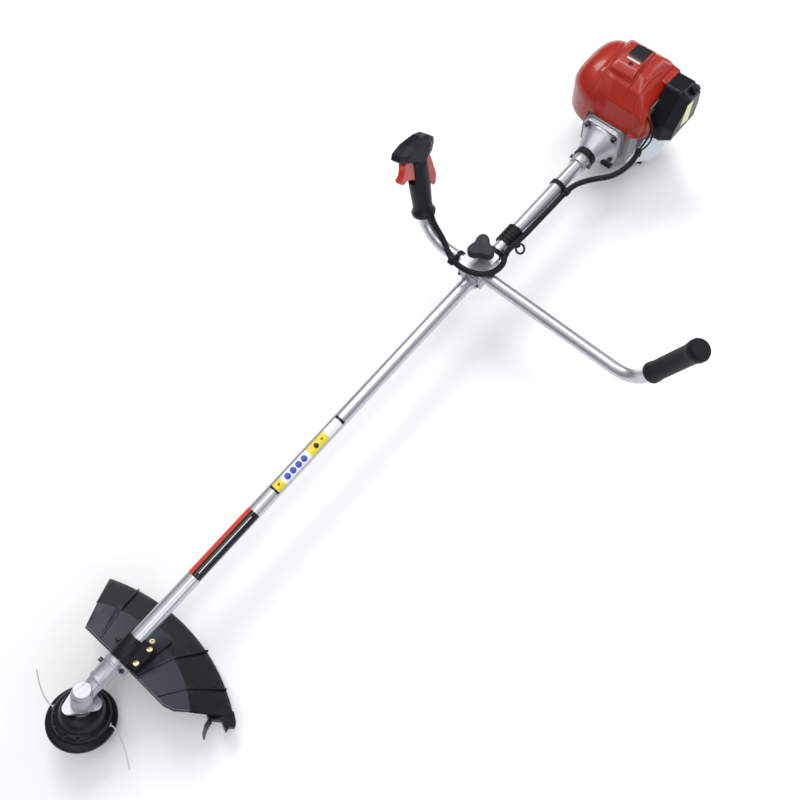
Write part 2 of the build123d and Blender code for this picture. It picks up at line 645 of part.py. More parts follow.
def air_cleaner_case():
    """The back half of the air cleaner, bolted to the carburettor."""
    outer = side_profile(AIR_SIDE, 9, AIR_BACK, AIR_SPLIT)
    face = offset(rounded(AIR_SIDE, 9), amount=-2.5)
    split = Plane(origin=(0, AIR_SPLIT + 1, 0), x_dir=(1, 0, 0), z_dir=(0, -1, 0))
    hollow = split * extrude(face, AIR_SPLIT + 1 - AIR_BACK - 3)
    body = outer - hollow - rod_y(AIR_BACK - 1, AIR_BACK + 4, 7, CYL_X, CARB_Z)
    return body


def air_filter():
    """The foam element that fills the case."""
    face = offset(rounded(AIR_SIDE, 9), amount=-3.5)
    return Plane(origin=(0, AIR_SPLIT + 6, 0), x_dir=(1, 0, 0), z_dir=(0, -1, 0)) * extrude(face, 18)


def air_cleaner_cover():
    """The removable cover of the air cleaner, with its latch knob."""
    big = rounded(AIR_SIDE, 9)
    small = offset(big, amount=-11)
    base = Plane(origin=(0, AIR_SPLIT + 0.2, 0), x_dir=(1, 0, 0), z_dir=(0, -1, 0))
    wall = base * extrude(big, -16)
    top_plane = Plane(origin=(0, AIR_SPLIT + 16.2, 0), x_dir=(1, 0, 0), z_dir=(0, -1, 0))
    tip_plane = Plane(origin=(0, AIR_FRONT, 0), x_dir=(1, 0, 0), z_dir=(0, -1, 0))
    crown = loft([top_plane * big, tip_plane * small])
    shell = wall + crown
    inner = offset(rounded(AIR_SIDE, 9), amount=-2.5)
    hollow = Plane(origin=(0, AIR_SPLIT, 0), x_dir=(1, 0, 0), z_dir=(0, -1, 0)) * extrude(inner, -14)
    return shell - hollow


def choke_lever():
    """The choke lever below the carburettor, sticking out in front of the air cleaner."""
    spindle = rod_y(66, 74, 4, -30, SHAFT_Z + 7.5)
    arm = block(-32.5, -27.5, 68, 72, SHAFT_Z - 14, SHAFT_Z + 7)
    return spindle + arm


def primer_bulb():
    """The soft bulb that fills the carburettor."""
    dome = Sphere(9) & block(-10, 10, -10, 10, 0, 10)
    return Plane(origin=(CYL_X + 16.3, 53, CARB_Z - 2), x_dir=(0, 1, 0), z_dir=(1, 0, 0)) * dome


# Handlebar
def rise_plane(side):
    """A frame at one corner of the bar: z up along the grip, x forward."""
    corner = (BAR_X, LEFT_CORNER if side > 0 else RIGHT_CORNER, BAR_Z)
    up = Vector(*(LEFT_LEAN if side > 0 else RIGHT_LEAN)).normalized()
    forward = Vector(0, 1, 0).cross(up).normalized()
    return Plane(origin=corner, x_dir=forward, z_dir=up)


LEFT = rise_plane(1)
RIGHT = rise_plane(-1)


def bar_path():
    """The centre line of the handlebar: two grips and the straight across the shaft."""
    right_end = RIGHT.origin + RIGHT.z_dir * RIGHT_RISE
    left_end = LEFT.origin + LEFT.z_dir * LEFT_RISE
    return FilletPolyline(right_end, RIGHT.origin, LEFT.origin, left_end, radius=[RIGHT_BEND_R, BAR_BEND_R])


def bar_solid(radius):
    """The handlebar's outer form at a given radius."""
    path = bar_path()
    start = Plane(origin=path @ 0, z_dir=path % 0)
    return sweep(start * Circle(radius), path=path)


def handlebar_tube():
    """The bent handlebar tube, open at both ends."""
    return bar_solid(BAR_R) - bar_solid(BAR_R - BAR_WALL)


def left_grip():
    """The smooth rubber grip, a little thicker at each end."""
    body = turned_on(LEFT, [(0, 52), (17, 52), (19.5, 54.5), (19.5, 62), (18, 69), (18, 158), (19, 167),
                            (20.5, 173),
                            (20.5, 181), (18, 186), (0, 186)])
    return body - bar_solid(BAR_R)


def cable_mouth():
    """The hole in the grip's lower flange that the conduit enters."""
    return rod_on(RIGHT, 30, 64, CABLE_R + 0.5, 0, MOUTH_SIDE)


def pivot_pin(pivot, radius, half):
    """A round pin across the throttle grip at a (forward, up) place."""
    across = Plane(origin=RIGHT.origin, x_dir=RIGHT.x_dir, z_dir=RIGHT.y_dir)
    forward, rise = pivot
    return across * (Pos(forward, -rise, -half) * Cylinder(radius, 2 * half, align=LOW))


def throttle_grip():
    """The right-hand grip with the control head that carries trigger, lock-out and switch."""
    body = turned_on(RIGHT, [(0, 50), (22, 50), (23, 53), (23, 58), (20.5, 62), (19, 72), (19, 118),
                             (20, 176), (0, 176)])
    side = [(-34, 168), (30, 166), (40, 174), (41, 186), (30, 198), (-20, 215), (-34, 213), (-46, 192)]
    head_face = rounded(side, 6)
    head_plane = Plane(origin=RIGHT.origin + RIGHT.y_dir * 18, x_dir=RIGHT.x_dir, z_dir=-RIGHT.y_dir)
    body = body + head_plane * extrude(head_face, 36)
    body = body - block_on(RIGHT, -8, 60, -8.5, 8.5, 119, 186)
    body = body - block_on(RIGHT, -60, -13, -7.5, 7.5, 92, 178)
    body = body - block_on(RIGHT, -60, -34, -5.2, 5.2, 178, 192.2)
    body = body - pivot_pin(TRIGGER_PIVOT, TRIGGER_PIN_R + 0.05, PIN_HALF + 0.5)
    body = body - pivot_pin(LOCK_PIVOT, LOCK_PIN_R + 0.05, PIN_HALF + 0.5)
    return body - bar_solid(BAR_R) - cable_mouth()


def throttle_trigger():
    """The trigger, hinged at its top in the control head."""
    side = [(5, 184), (18, 184), (32, 174), (38, 158), (47, 142), (44, 136), (30, 138), (9, 126), (6, 130)]
    blade = Plane(origin=RIGHT.origin + RIGHT.y_dir * 8, x_dir=RIGHT.x_dir, z_dir=-RIGHT.y_dir)
    return blade * extrude(rounded(side, 2.5), 16) + pivot_pin(TRIGGER_PIVOT, TRIGGER_PIN_R, PIN_HALF)


def lockout_lever():
    """The safety lever in the back of the grip, hinged at its top."""
    side = [(-16, 172), (-26, 176), (-34, 150), (-40, 118), (-36, 102), (-29, 99), (-23, 112), (-19, 150)]
    blade = Plane(origin=RIGHT.origin + RIGHT.y_dir * 7, x_dir=RIGHT.x_dir, z_dir=-RIGHT.y_dir)
    return blade * extrude(rounded(side, 2.5), 14) + pivot_pin(LOCK_PIVOT, LOCK_PIN_R, PIN_HALF)


def stop_switch():
    """The slide switch that stops the engine."""
    return block_on(RIGHT, -47, -36, -5, 5, 180.2, 190)


# Clamp between bar and shaft


def clamp_base():
    """The lower bracket: a ring round the shaft tube and a saddle for the bar."""
    top = block(CLAMP_BACK, CLAMP_FRONT, -CLAMP_HALF, CLAMP_HALF, SHAFT_Z - 2, BAR_Z - 0.2)
    ring = rod_x(CLAMP_BACK, CLAMP_FRONT, 19.5)
    ears = block(CLAMP_BACK, CLAMP_FRONT, -6, 6, SHAFT_Z - 30, SHAFT_Z - 14)
    body = top + ring + ears
    body = body - rod_x(CLAMP_BACK - 1, CLAMP_FRONT + 1, TUBE_R)
    body = body - rod_y(-CLAMP_HALF - 1, CLAMP_HALF + 1, BAR_R + 0.05, BAR_X, BAR_Z)
    body = body - block(CLAMP_BACK - 1, CLAMP_FRONT + 1, -1, 1, SHAFT_Z - 31, SHAFT_Z - 12)
    for y in (-15, 8):
        body = body - block(CLAMP_FRONT - 3, CLAMP_FRONT + 1, y, y + 10, SHAFT_Z + 4, SHAFT_Z + 11)
    screw_hole = rod_y(-10, 10, 2.6, KNOB_X + 8, SHAFT_Z - 24)
    return body - screw_hole - rod_z(SHAFT_Z + 14, BAR_Z + 1, 4.08, KNOB_X, 0)


def clamp_cap():
    """The upper jaw that the knob presses on the bar."""
    body = block(CLAMP_BACK, CLAMP_FRONT, -CLAMP_HALF, CLAMP_HALF, BAR_Z + 0.4, BAR_Z + 16)
    body = body - rod_y(-CLAMP_HALF - 1, CLAMP_HALF + 1, BAR_R + 0.05, BAR_X, BAR_Z)
    body = fillet(body.edges().filter_by(Axis.Z), 5)
    return body - rod_z(BAR_Z, BAR_Z + 20, 4.08, KNOB_X, 0)


def clamp_knob():
    """The three-lobed knob with its screw."""
    low = KNOB_TOP - KNOB_THICK
    corner_r = LOBE_CENTRE_R + 2 * LOBE_R
    angles = [radians(120 * index + 90) for index in range(3)]
    corners = [(corner_r * cos(angle), corner_r * sin(angle)) for angle in angles]
    head = extrude(rounded(corners, LOBE_R), KNOB_THICK)
    for index in range(3):
        waist = Cylinder(WAIST_R, KNOB_THICK + 2, align=LOW)
        head = head - Rot(0, 0, 120 * index + 30) * Pos(WAIST_R + 16.5, 0, -1) * waist
    neck = Pos(0, 0, low - 12) * Cylinder(9, 12, align=LOW)
    screw_low = SHAFT_Z + 14.5
    screw = Pos(0, 0, screw_low) * Cylinder(4.0, low - 12 - screw_low, align=LOW)
    return Pos(KNOB_X, 0, 0) * (Pos(0, 0, low) * head + neck + screw)


# Harness


def eye_plane():
    """The plane across the harness eye's lug, facing out from the shaft."""
    angle = radians(EYE_ANGLE)
    return Plane(origin=(EYE_X, 0, SHAFT_Z), x_dir=(1, 0, 0), z_dir=(0, cos(angle), sin(angle)))


def harness_collar():
    """The ribbed rubber collar with a lug for the harness eye."""
    x0 = KNOB_X - 108
    body = ring_x(x0, x0 + 41, 18.4, TUBE_R)
    for index in range(4):
        start = x0 + 6 + index * 9
        body = body - ring_x(start, start + 2.5, 30, 17.0)
    outward = eye_plane()
    lug = block_on(outward, -2, 2, -6, 6, 15, 27)
    hole = rod_x(EYE_X - 5, EYE_X + 5, EYE_WIRE + 0.35, EYE_LUG_R * cos(radians(EYE_ANGLE)),
                 SHAFT_Z + EYE_LUG_R * sin(radians(EYE_ANGLE)))
    return body + lug - hole


def harness_ring():
    """The eye that the harness hooks on."""
    outward = eye_plane()
    ring = Rot(90, 0, 0) * Torus(EYE_MAJOR, EYE_WIRE)
    return outward * (Pos(0, 0, EYE_LUG_R + EYE_MAJOR) * ring)


# Control cable


def cable_route():
    """The conduit's corner points, from the carburettor to the mouth in the throttle grip."""
    mouth = [tuple(RIGHT.origin + RIGHT.y_dir * MOUTH_SIDE + RIGHT.z_dir * rise) for rise in (44.0, 63.0)]
    return [
        (43, 80, SHAFT_Z + 14), (54, 82, SHAFT_Z + 4), (87, 80, SHAFT_Z), (118, 68, SHAFT_Z - 1),
        (142, 46, SHAFT_Z),
        (172, 26, SHAFT_Z), (200, 20.8, SHAFT_Z), (250, 21, SHAFT_Z + 1), (300, 20.8, SHAFT_Z + 4),
        (332, 23, SHAFT_Z + 11), (362, 24, SHAFT_Z + 19), (388, 22, SHAFT_Z + 21), (403, 27, SHAFT_Z + 22),
        (416, 35, SHAFT_Z + 25), (434, 38.5, SHAFT_Z + 33.5), (453, 39.5, SHAFT_Z + 45),
        (472, 31, SHAFT_Z + 53),
        (484, 10, SHAFT_Z + 55), (486, -12, SHAFT_Z + 52), (482, -36, SHAFT_Z + 47),
        (471, -58, SHAFT_Z + 47),
        (460, -76, SHAFT_Z + 50), (454.5, -93, SHAFT_Z + 57)] + mouth


def corner_radii(route):
    """For each corner, the largest arc that its two runs allow."""
    points = [Vector(*point) for point in route]
    radii = []
    for before, corner, after in zip(points, points[1:], points[2:]):
        turn = (corner - before).get_angle(after - corner)
        shorter = min((corner - before).length, (after - corner).length)
        radii.append(0.45 * shorter / tan(radians(turn) / 2))
    return radii


def cable_tube(route, radius):
    """A round cable along a route of runs joined by arcs."""
    radii = corner_radii(route)
    path = FilletPolyline(*route, radius=radii)
    start = Plane(origin=path @ 0, z_dir=path % 0)
    tube = sweep(start * Circle(radius), path=path)
    print("cord length", round(path.length, 1))
    print("volume ratio", round(tube.volume / (pi * radius ** 2 * path.length), 4))
    return tube


@cache
def control_cable():
    """The corrugated conduit from the engine to the throttle grip."""
    return cable_tube(cable_route(), CABLE_R)


def cable_straps():
    """Straps that hold the conduit to the tube and to the bar."""
    cable = control_cable()
    width = 9.0
    straps = []
    for x0, y, dz in ((196, 20.8, 0.0), (394, 22.3, 21.4)):
        round_tube = rod_x(x0, x0 + width, TUBE_R + 2.4) + rod_x(x0, x0 + width, CABLE_R + 2.6, y, SHAFT_Z
                                                                 + dz)
        middle = Plane(origin=(x0, y / 2, SHAFT_Z + dz / 2), x_dir=Vector(0, y, dz).normalized(),
                       z_dir=(1, 0, 0))
        bridge = block_on(middle, -7, 7, -6, 6, 0, width)
        inside = rod_x(x0 - 1, x0 + width + 1, TUBE_R)
        inside = inside + rod_x(x0 - 1, x0 + width + 1, CABLE_R + 0.6, y, SHAFT_Z + dz)
        straps.append((round_tube + bridge) - inside - cable)
    y0 = -42.0
    clip = rod_y(y0, y0 + width, BAR_R + 2.4, BAR_X, BAR_Z)
    clip = clip + rod_y(y0, y0 + width, CABLE_R + 3.4, 481, SHAFT_Z + 45.5)
    clip = clip - rod_y(y0 - 1, y0 + 10, BAR_R + 0.05, BAR_X, BAR_Z)
    clip = clip - rod_y(y0 - 1, y0 + 10, CABLE_R + 1.2, 481, SHAFT_Z + 45.5)
    return group(*straps, clip - cable)


# Cutting head
def locating_seat():
    """The seat of the gear case's locating screw, on the right of its clamp."""
    angle = radians(165)
    outward = (0, cos(angle), sin(angle))
    origin = (LOCATING_X, CASE_CLAMP_R * cos(angle), SHAFT_Z + CASE_CLAMP_R * sin(angle))
    return Plane(origin=origin, x_dir=(1, 0, 0), z_dir=outward)


def gear_case():
    """The cast gear case, from the clamp round the tube to the boss round the spindle."""
    neck_plane = Plane(origin=(0, 0, SHAFT_Z), x_dir=(0, 1, 0), z_dir=(1, 0, 0))
    neck = turned_on(neck_plane, [
        (0, CASE_BACK_X), (17.2, CASE_BACK_X), (17.2, CASE_BACK_X + 7), (18.8, CASE_BACK_X + 8),
        (18.8, CASE_BACK_X + 11),
        (CASE_CLAMP_R, CASE_BACK_X + 12), (CASE_CLAMP_R, 1442), (18.2, 1444), (18.2, 1447), (15.6, 1449),
        (14.6, 1462),
        (14.6, APEX_X), (0, APEX_X)])
    boss = turned_on(HEAD, [(0, -27), (17.2, -27), (18.4, -20), (18.4, 15), (15.6, 20.5), (15.6, 26.6),
                            (14.3, 28.8),
                            (0, 28.8)])
    corner_r = 46
    triangle = rounded([(corner_r * cos(radians(a)), corner_r * sin(radians(a))) for a in (-12, 124, 236)],
                       12)
    plate = HEAD * (Pos(0, 0, -24.5) * extrude(triangle, 4))
    lug = block(CASE_BACK_X + 1, CASE_BACK_X + 15, 13, 28, SHAFT_Z - 6, SHAFT_Z + 6)
    body = joined(neck, boss, plate, lug)
    body = body - rod_x(CASE_BACK_X - 1, TUBE_END, TUBE_R)
    body = body - rod_x(TUBE_END - 1, TUBE_END + 16, 11.5)
    body = body - rod_x(TUBE_END + 15, APEX_X - 8, 10.8)
    body = body - rod_on(HEAD, -17, 19.4, 14.8) - rod_on(HEAD, 19.3, 26.0, 11.0)
    body = body - rod_on(HEAD, -25, -16, 13.0) - rod_on(HEAD, -32, -24, 9.0)
    body = body - block(CASE_BACK_X - 1, CASE_BACK_X + 22, 12, 30, SHAFT_Z - 0.8, SHAFT_Z + 0.8)
    seat = locating_seat()
    body = body - rod_on(seat, 0.1, 8, 4.6) - rod_on(seat, -6, 1, 2.4)
    return body - rod_z(SHAFT_Z - 10, SHAFT_Z + 10, 2.6, CASE_BACK_X + 8, 22.8)


def pinch_screws():
    """The pinch screws of the gear case and of the bar clamp, and the gear case's locating screw."""
    gear_pinch = socket_screw(Plane(origin=(CASE_BACK_X + 8, 22.8, SHAFT_Z + 6)), 4.5, 5, 2.6, 14)
    locating = socket_screw(locating_seat().offset(0.1), 4.0, 6.0, 2.4, 3.0)
    clamp_seat = Plane(origin=(KNOB_X + 8, 6, SHAFT_Z - 24), x_dir=(1, 0, 0), z_dir=(0, 1, 0))
    clamp_pinch = socket_screw(clamp_seat, 4.5, 5, 2.6, 16)
    return group(gear_pinch, locating, clamp_pinch)


def output_spindle():
    """The spindle with the holder that drives the trimmer head."""
    shaft = rod_on(HEAD, -96, 25.6, 5.0)
    holder = rod_on(HEAD, -36, -31.6, 20.0) + rod_on(HEAD, -31.6, -25.4, 8.6)
    return shaft + holder


def trimmer_head_body():
    """The upper shell of the trimmer head: a stepped dome over a wide flange."""
    outer = turned_on(HEAD, [(0, -36), (27, -36), (34, -40), (38, -50), (40, -58), (46, -61), (49, -66),
                             (50, -76),
                             (HEAD_R - 2, -80), (HEAD_R, -83), (HEAD_R, FLANGE_H - 2), (0, FLANGE_H - 2)])
    inner = turned_on(HEAD, [(0, -44), (30, -44), (35, -52), (37, -60), (45.5, -66), (46, -90), (0, -90)])
    hub = rod_on(HEAD, -62, -44, 12.0)
    slots = []
    for angle in LINE_ANGLES:
        outlet = Plane(origin=(40, 0, -73.5), x_dir=(0, 1, 0), z_dir=(1, 0, 0)) * Cylinder(4, 24, align=LOW)
        slots.append(HEAD * (Rot(0, 0, angle) * outlet))
    body = outer - inner + hub - rod_on(HEAD, -100, -30, 5.0)
    for slot in slots:
        body = body - slot
    for index in range(12):
        notch = HEAD * (Rot(0, 0, 30 * index + 15) * block(43, 49, -2, 2, -64, -59))
        body = body - notch
    return body


def trimmer_head_cover():
    """The lower cover that clips on under the spool."""
    cover = turned_on(HEAD, [(24.2, -88.1), (52, -88.1), (52, -94), (46, -101), (24.2, -101)])
    for angle in (0, 180):
        grip = HEAD * (Rot(0, 0, angle) * block(47, 53, -9, 9, -99, -89))
        cover = cover + (grip - rod_on(HEAD, -110, -80, 24.2))
    return cover


def line_spool():
    """The spool that the line is wound on."""
    core = ring_on(HEAD, -92, -66, 22, 13.2)
    flanges = ring_on(HEAD, -68, -66, 40, 13.2) + ring_on(HEAD, -84, -82, 40, 13.2)
    wound = ring_on(HEAD, -82, -68, 36, 22)
    return group(core + flanges, wound)


def bump_knob():
    """The knob that is tapped on the ground to feed line."""
    body = turned_on(HEAD, [(0, -99), (11, -99), (11, -92), (23.5, -92), (23.5, -108), (17, -116),
                            (0, -116)])
    return body - rod_on(HEAD, -97.5, -90, 5.3)


def bump_spring():
    """The spring between the head and the knob."""
    return ring_on(HEAD, -91.9, -62.1, 11.0, 9.4)


def trimmer_line():
    """Two ends of cutting line that stick out of the head."""
    ends = []
    for angle in LINE_ANGLES:
        turned = HEAD.location * Rot(0, 0, angle)
        route = [tuple((turned * Pos(*point)).position) for point in LINE_ROUTE]
        ends.append(cable_tube(route, LINE_R))
    return group(*ends)


# Guard


def arc_strip(radius, forward, low, high, height):
    """A curved strip across the guard, on an arc about a point ahead of the spindle."""
    inner = radius - SKIN
    middle = (low + high) / 2

    def at(distance, y):
        return (forward - sqrt(distance ** 2 - y ** 2), y, height)

    edges = [
        ThreePointArc(at(radius, low), at(radius, middle), at(radius, high)),
        Line(at(radius, high), at(inner, high)),
        ThreePointArc(at(inner, high), at(inner, middle), at(inner, low)),
        Line(at(inner, low), at(radius, low)),
    ]
    return make_face(edges)


def guard_rib(start, crease, rim):
    """A stiffening rib over the top and down the skirt."""
    half = 1.2
    proud = 2.5
    flat = Vector(crease[0] - start[0], crease[1] - start[1], 0)
    side = Vector(-flat.Y, flat.X, 0).normalized() * half
    heights = ((start, GUARD_TOP), (crease, GUARD_TOP - 0.6), (rim, GUARD_RIM + 3.2))
    sections = []
    for point, height in heights:
        base = Vector(point[0], point[1], height - 2.4)
        top = Vector(point[0] - proud * 0.4, point[1], height + proud)
        sections.append(make_face(Polyline(tuple(base - side), tuple(base + side), tuple(top + side),
                                           tuple(top - side),
                                           close=True)))
    first = loft([sections[0], sections[1]], ruled=True)
    second = loft([sections[1], sections[2]], ruled=True)
    return first + second


def guard():
    """The moulded guard: a flat top, a flared skirt and an extension at the cutter end."""
    outline = make_face(Polyline((-76, -93), (-79, 0), (-80, 107), (-87, 126), (-104, 144), (-300, 144),
                                 (-300, -119), (-122, -119), close=True))
    disc = Pos(CREASE_FORWARD, 0) * Circle(CREASE_R)
    top = HEAD * (Pos(0, 0, GUARD_TOP - SKIN) * extrude(disc & outline, SKIN))
    upper = arc_strip(CREASE_R, CREASE_FORWARD, -119, 144, GUARD_TOP)
    lower = arc_strip(RIM_R, RIM_FORWARD, -162, 192, GUARD_RIM)
    skirt = HEAD * loft([lower, upper], ruled=True)
    pad = block_on(HEAD, -165, -88, -14, 30, GUARD_TOP - SKIN, GUARD_TOP + 6)
    pad = pad + block_on(HEAD, -165, -152, -14, 30, GUARD_TOP - 9, GUARD_TOP)
    body = top + skirt + pad
    body = body - rod_x(GUARD_CLAMP_X0 - 60, GUARD_CLAMP_X1 + 40, 18.5)
    body = body + HEAD * (Pos(0, 0, GUARD_RIM) * extrude(rounded(CUTTER_BRACKET, 1.5), 10))
    body = body + block_on(HEAD, -104, -98, -39, -33, GUARD_TOP - SKIN, GUARD_TOP + 7)
    for rib in RIBS:
        body = body + HEAD * guard_rib(*rib)
    for u, v, _ in (LOW_BOLT, *HIGH_BOLTS):
        body = body - rod_on(HEAD, GUARD_TOP - 12, GUARD_TOP + 30, 2.6, u, v)
    return body


def guard_clamp():
    """The saddle over the tube that holds the guard, with a foot that is bolted to the guard."""
    saddle = rod_x(GUARD_CLAMP_X0, GUARD_CLAMP_X1, 18.4)
    slab = front_profile([(-15, 0), (-17, SHAFT_Z), (17, SHAFT_Z + 4), (34, SHAFT_Z - 12), (34, 0)], 0,
                         GUARD_CLAMP_X0 - 60, GUARD_CLAMP_X1 + 60)
    wedge = slab & block_on(HEAD, -122, -79, -40, 34, GUARD_TOP + 6, GUARD_TOP + 70)
    wedge = wedge & block(GUARD_CLAMP_X0 - 7, GUARD_CLAMP_X1, -60, 60, 0, SHAFT_Z + 60)
    body = saddle + wedge
    body = body - rod_x(GUARD_CLAMP_X0 - 80, GUARD_CLAMP_X1 + 80, TUBE_R)
    for u, v, seat in HIGH_BOLTS:
        body = body - rod_on(HEAD, GUARD_TOP - 12, seat + 1, 2.6, u, v)
        body = body - rod_on(HEAD, seat, GUARD_TOP + 90, 5.6, u, v)
    return body


def guard_screws():
    """Three screws that hold the clamp's foot and the guard together."""
    screws = []
    for u, v, seat in (LOW_BOLT, *HIGH_BOLTS):
        shank = seat - GUARD_TOP + 8
        screws.append(socket_screw(HEAD.offset(seat), 5.0, 3.6, 2.6, shank, u, v))
    return group(*screws)


def line_cutter_blade():
    """The steel blade that trims the line to length."""
    return HEAD * (Pos(0, 0, GUARD_RIM - 2) * extrude(rounded(CUTTER_BLADE, 1.2), 2))


def main():
    """Writes one file for each sub-part."""
    os.makedirs("parts", exist_ok=True)
    makers = [
        shaft_tube, shaft_bushes, clutch_housing, clutch_screws, front_ring, tube_collar, ball_bearings,
        crankshaft, flywheel, clutch_shoes, fan_housing, crankcase, cylinder, piston, spark_plug,
        engine_shroud,
        starter_cover, starter_pulley, starter_handle, muffler, fuel_tank, fuel_cap, engine_stand,
        carburetor,
        carb_throttle_lever, air_cleaner_case, air_filter, air_cleaner_cover, choke_lever, primer_bulb,
        clutch_drum, drive_shaft, pinion, output_spindle, output_gear, trimmer_head_body, trimmer_head_cover,
        line_spool, bump_knob, bump_spring, trimmer_line, gear_case, pinch_screws, guard, guard_clamp,
        guard_screws, line_cutter_blade,
        handlebar_tube, left_grip, throttle_grip, throttle_trigger, lockout_lever, stop_switch,
        clamp_base, clamp_cap, clamp_knob, harness_collar, harness_ring, control_cable, cable_straps,
    ]
    for maker in makers:
        export_step(maker(), os.path.join("parts", maker.__name__ + ".step"))


main()
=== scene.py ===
import math

import bmesh
import bpy
from mathutils import Matrix, Vector


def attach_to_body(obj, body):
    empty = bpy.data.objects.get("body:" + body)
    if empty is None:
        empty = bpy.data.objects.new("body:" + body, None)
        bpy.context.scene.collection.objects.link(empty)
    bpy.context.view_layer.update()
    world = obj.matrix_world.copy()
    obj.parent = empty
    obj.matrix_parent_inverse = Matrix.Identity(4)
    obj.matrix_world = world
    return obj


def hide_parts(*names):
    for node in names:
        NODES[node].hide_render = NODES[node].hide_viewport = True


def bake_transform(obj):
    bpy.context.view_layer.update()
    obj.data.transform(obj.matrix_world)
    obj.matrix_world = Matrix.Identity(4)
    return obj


# Petrol brush cutter. Metres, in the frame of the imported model: X along the shaft to the cutting head, Y to
# the left, Z up.
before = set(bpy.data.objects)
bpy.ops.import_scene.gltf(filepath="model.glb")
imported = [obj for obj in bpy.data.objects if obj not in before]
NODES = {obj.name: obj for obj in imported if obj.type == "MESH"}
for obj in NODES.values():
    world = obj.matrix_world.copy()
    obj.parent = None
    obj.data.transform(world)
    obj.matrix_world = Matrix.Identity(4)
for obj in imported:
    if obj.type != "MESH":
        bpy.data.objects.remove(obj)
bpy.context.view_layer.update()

MM = 0.001
SHAFT_Z = 0.135
TUBE_R = 0.014
# The point where the shaft's axis meets the cutting head's axis, and that axis and the direction square to it
APEX = Vector((1.4843, 0.0, SHAFT_Z))
LEAN = math.radians(60.2)
HEAD_UP = Vector((-math.cos(LEAN), 0.0, math.sin(LEAN)))
HEAD_OUT = Vector((math.sin(LEAN), 0.0, math.cos(LEAN)))


# Camera, floor and light
LENS = 38.44
SENSOR = 36.0
CAMERA_PLACE = Vector((1.0978, 0.5240, 1.5935))
CAMERA_RIGHT = Vector((-0.6582, 0.7486, -0.0801))
CAMERA_UP = Vector((-0.7189, -0.5933, 0.3622))
CAMERA_BACK = Vector((0.2237, 0.2960, 0.9286))
SKY_STRENGTH = 0.80
SKY_STOPS = ((0.12, (0.16, 0.17, 0.20, 1)), (0.5, (0.34, 0.36, 0.40, 1)), (0.85, (1.0, 1.0, 1.0, 1)))
STAGE_CENTRE = (0.75, 0.0, 0.1)
# Name, place, target, size, power and colour
LIGHTS = (
    ("key", (-0.7, -1.5, 2.9), STAGE_CENTRE, (1.5, 1.5), 50, (1.0, 0.99, 0.97)),
    ("fill", (2.2, 2.4, 1.9), STAGE_CENTRE, (2.2, 1.4), 20, (0.94, 0.96, 1.0)),
    ("top", (0.6, 0.4, 3.3), STAGE_CENTRE, (2.6, 0.9), 26, (1.0, 1.0, 1.0)),
    ("rim", (-1.9, 0.9, 1.3), (0.0, 0.0, 0.15), (1.0, 1.2), 14, (0.92, 0.95, 1.0)),
)
FLOOR_HALF = 6.0
FLOOR_X = 0.7
FLOOR_Z = -0.0004


def make_camera():
    """The camera at the photograph's angle."""
    data = bpy.data.cameras.new("camera")
    data.lens = LENS
    data.sensor_width = SENSOR
    data.clip_end = 20.0
    camera = bpy.data.objects.new("camera", data)
    turn = Matrix((CAMERA_RIGHT, CAMERA_UP, CAMERA_BACK)).transposed().to_4x4()
    camera.matrix_world = Matrix.Translation(CAMERA_PLACE) @ turn
    bpy.context.scene.collection.objects.link(camera)
    bpy.context.scene.camera = camera


def make_light(name, place, target, size, power, colour):
    """A soft rectangular light that faces a target."""
    data = bpy.data.lights.new(name, "AREA")
    data.shape = "RECTANGLE"
    data.size, data.size_y = size
    data.energy = power
    data.color = colour
    light = bpy.data.objects.new(name, data)
    light.location = place
    light.rotation_euler = (Vector(place) - Vector(target)).to_track_quat("Z", "Y").to_euler()
    bpy.context.scene.collection.objects.link(light)


def make_studio():
    """A pale floor, a sky that is bright above and dim at the sides, and soft lights."""
    bpy.context.scene.view_settings.view_transform = "Standard"
    world = bpy.data.worlds.new("studio")
    world.use_nodes = True
    nodes = world.node_tree.nodes
    links = world.node_tree.links
    place = nodes.new("ShaderNodeTexCoord")
    parts = nodes.new("ShaderNodeSeparateXYZ")
    links.new(place.outputs["Generated"], parts.inputs["Vector"])
    sky = nodes.new("ShaderNodeValToRGB")
    stops = sky.color_ramp.elements
    low, middle, high = SKY_STOPS
    stops[0].position, stops[0].color = low
    stops[1].position, stops[1].color = high
    stops.new(middle[0]).color = middle[1]
    links.new(parts.outputs["Z"], sky.inputs["Fac"])
    links.new(sky.outputs["Color"], nodes["Background"].inputs["Color"])
    nodes["Background"].inputs["Strength"].default_value = SKY_STRENGTH
    bpy.context.scene.world = world
    for light in LIGHTS:
        make_light(*light)
    corners = [(FLOOR_X + x * FLOOR_HALF, y * FLOOR_HALF, 0) for x, y in ((-1, -1), (1, -1), (1, 1), (-1, 1))]
    mesh = bpy.data.meshes.new("floor")
    mesh.from_pydata(corners, [], [(0, 1, 2, 3)])
    floor = bpy.data.objects.new("floor", mesh)
    floor.location.z = FLOOR_Z
    bpy.context.scene.collection.objects.link(floor)
    paper = plain_material("floor_paper", (0.93, 0.93, 0.93), 0.9, spots=0.005, grain=(220, 0.02))
    floor.data.materials.append(paper)


# Materials
ROUGH_SPREAD = 0.08
GRAIN_DEPTH = 0.0006
COAT_ROUGH = 0.08
SCATTER_DEPTH = 0.01
WORN_EDGE = (0.54, 0.62)


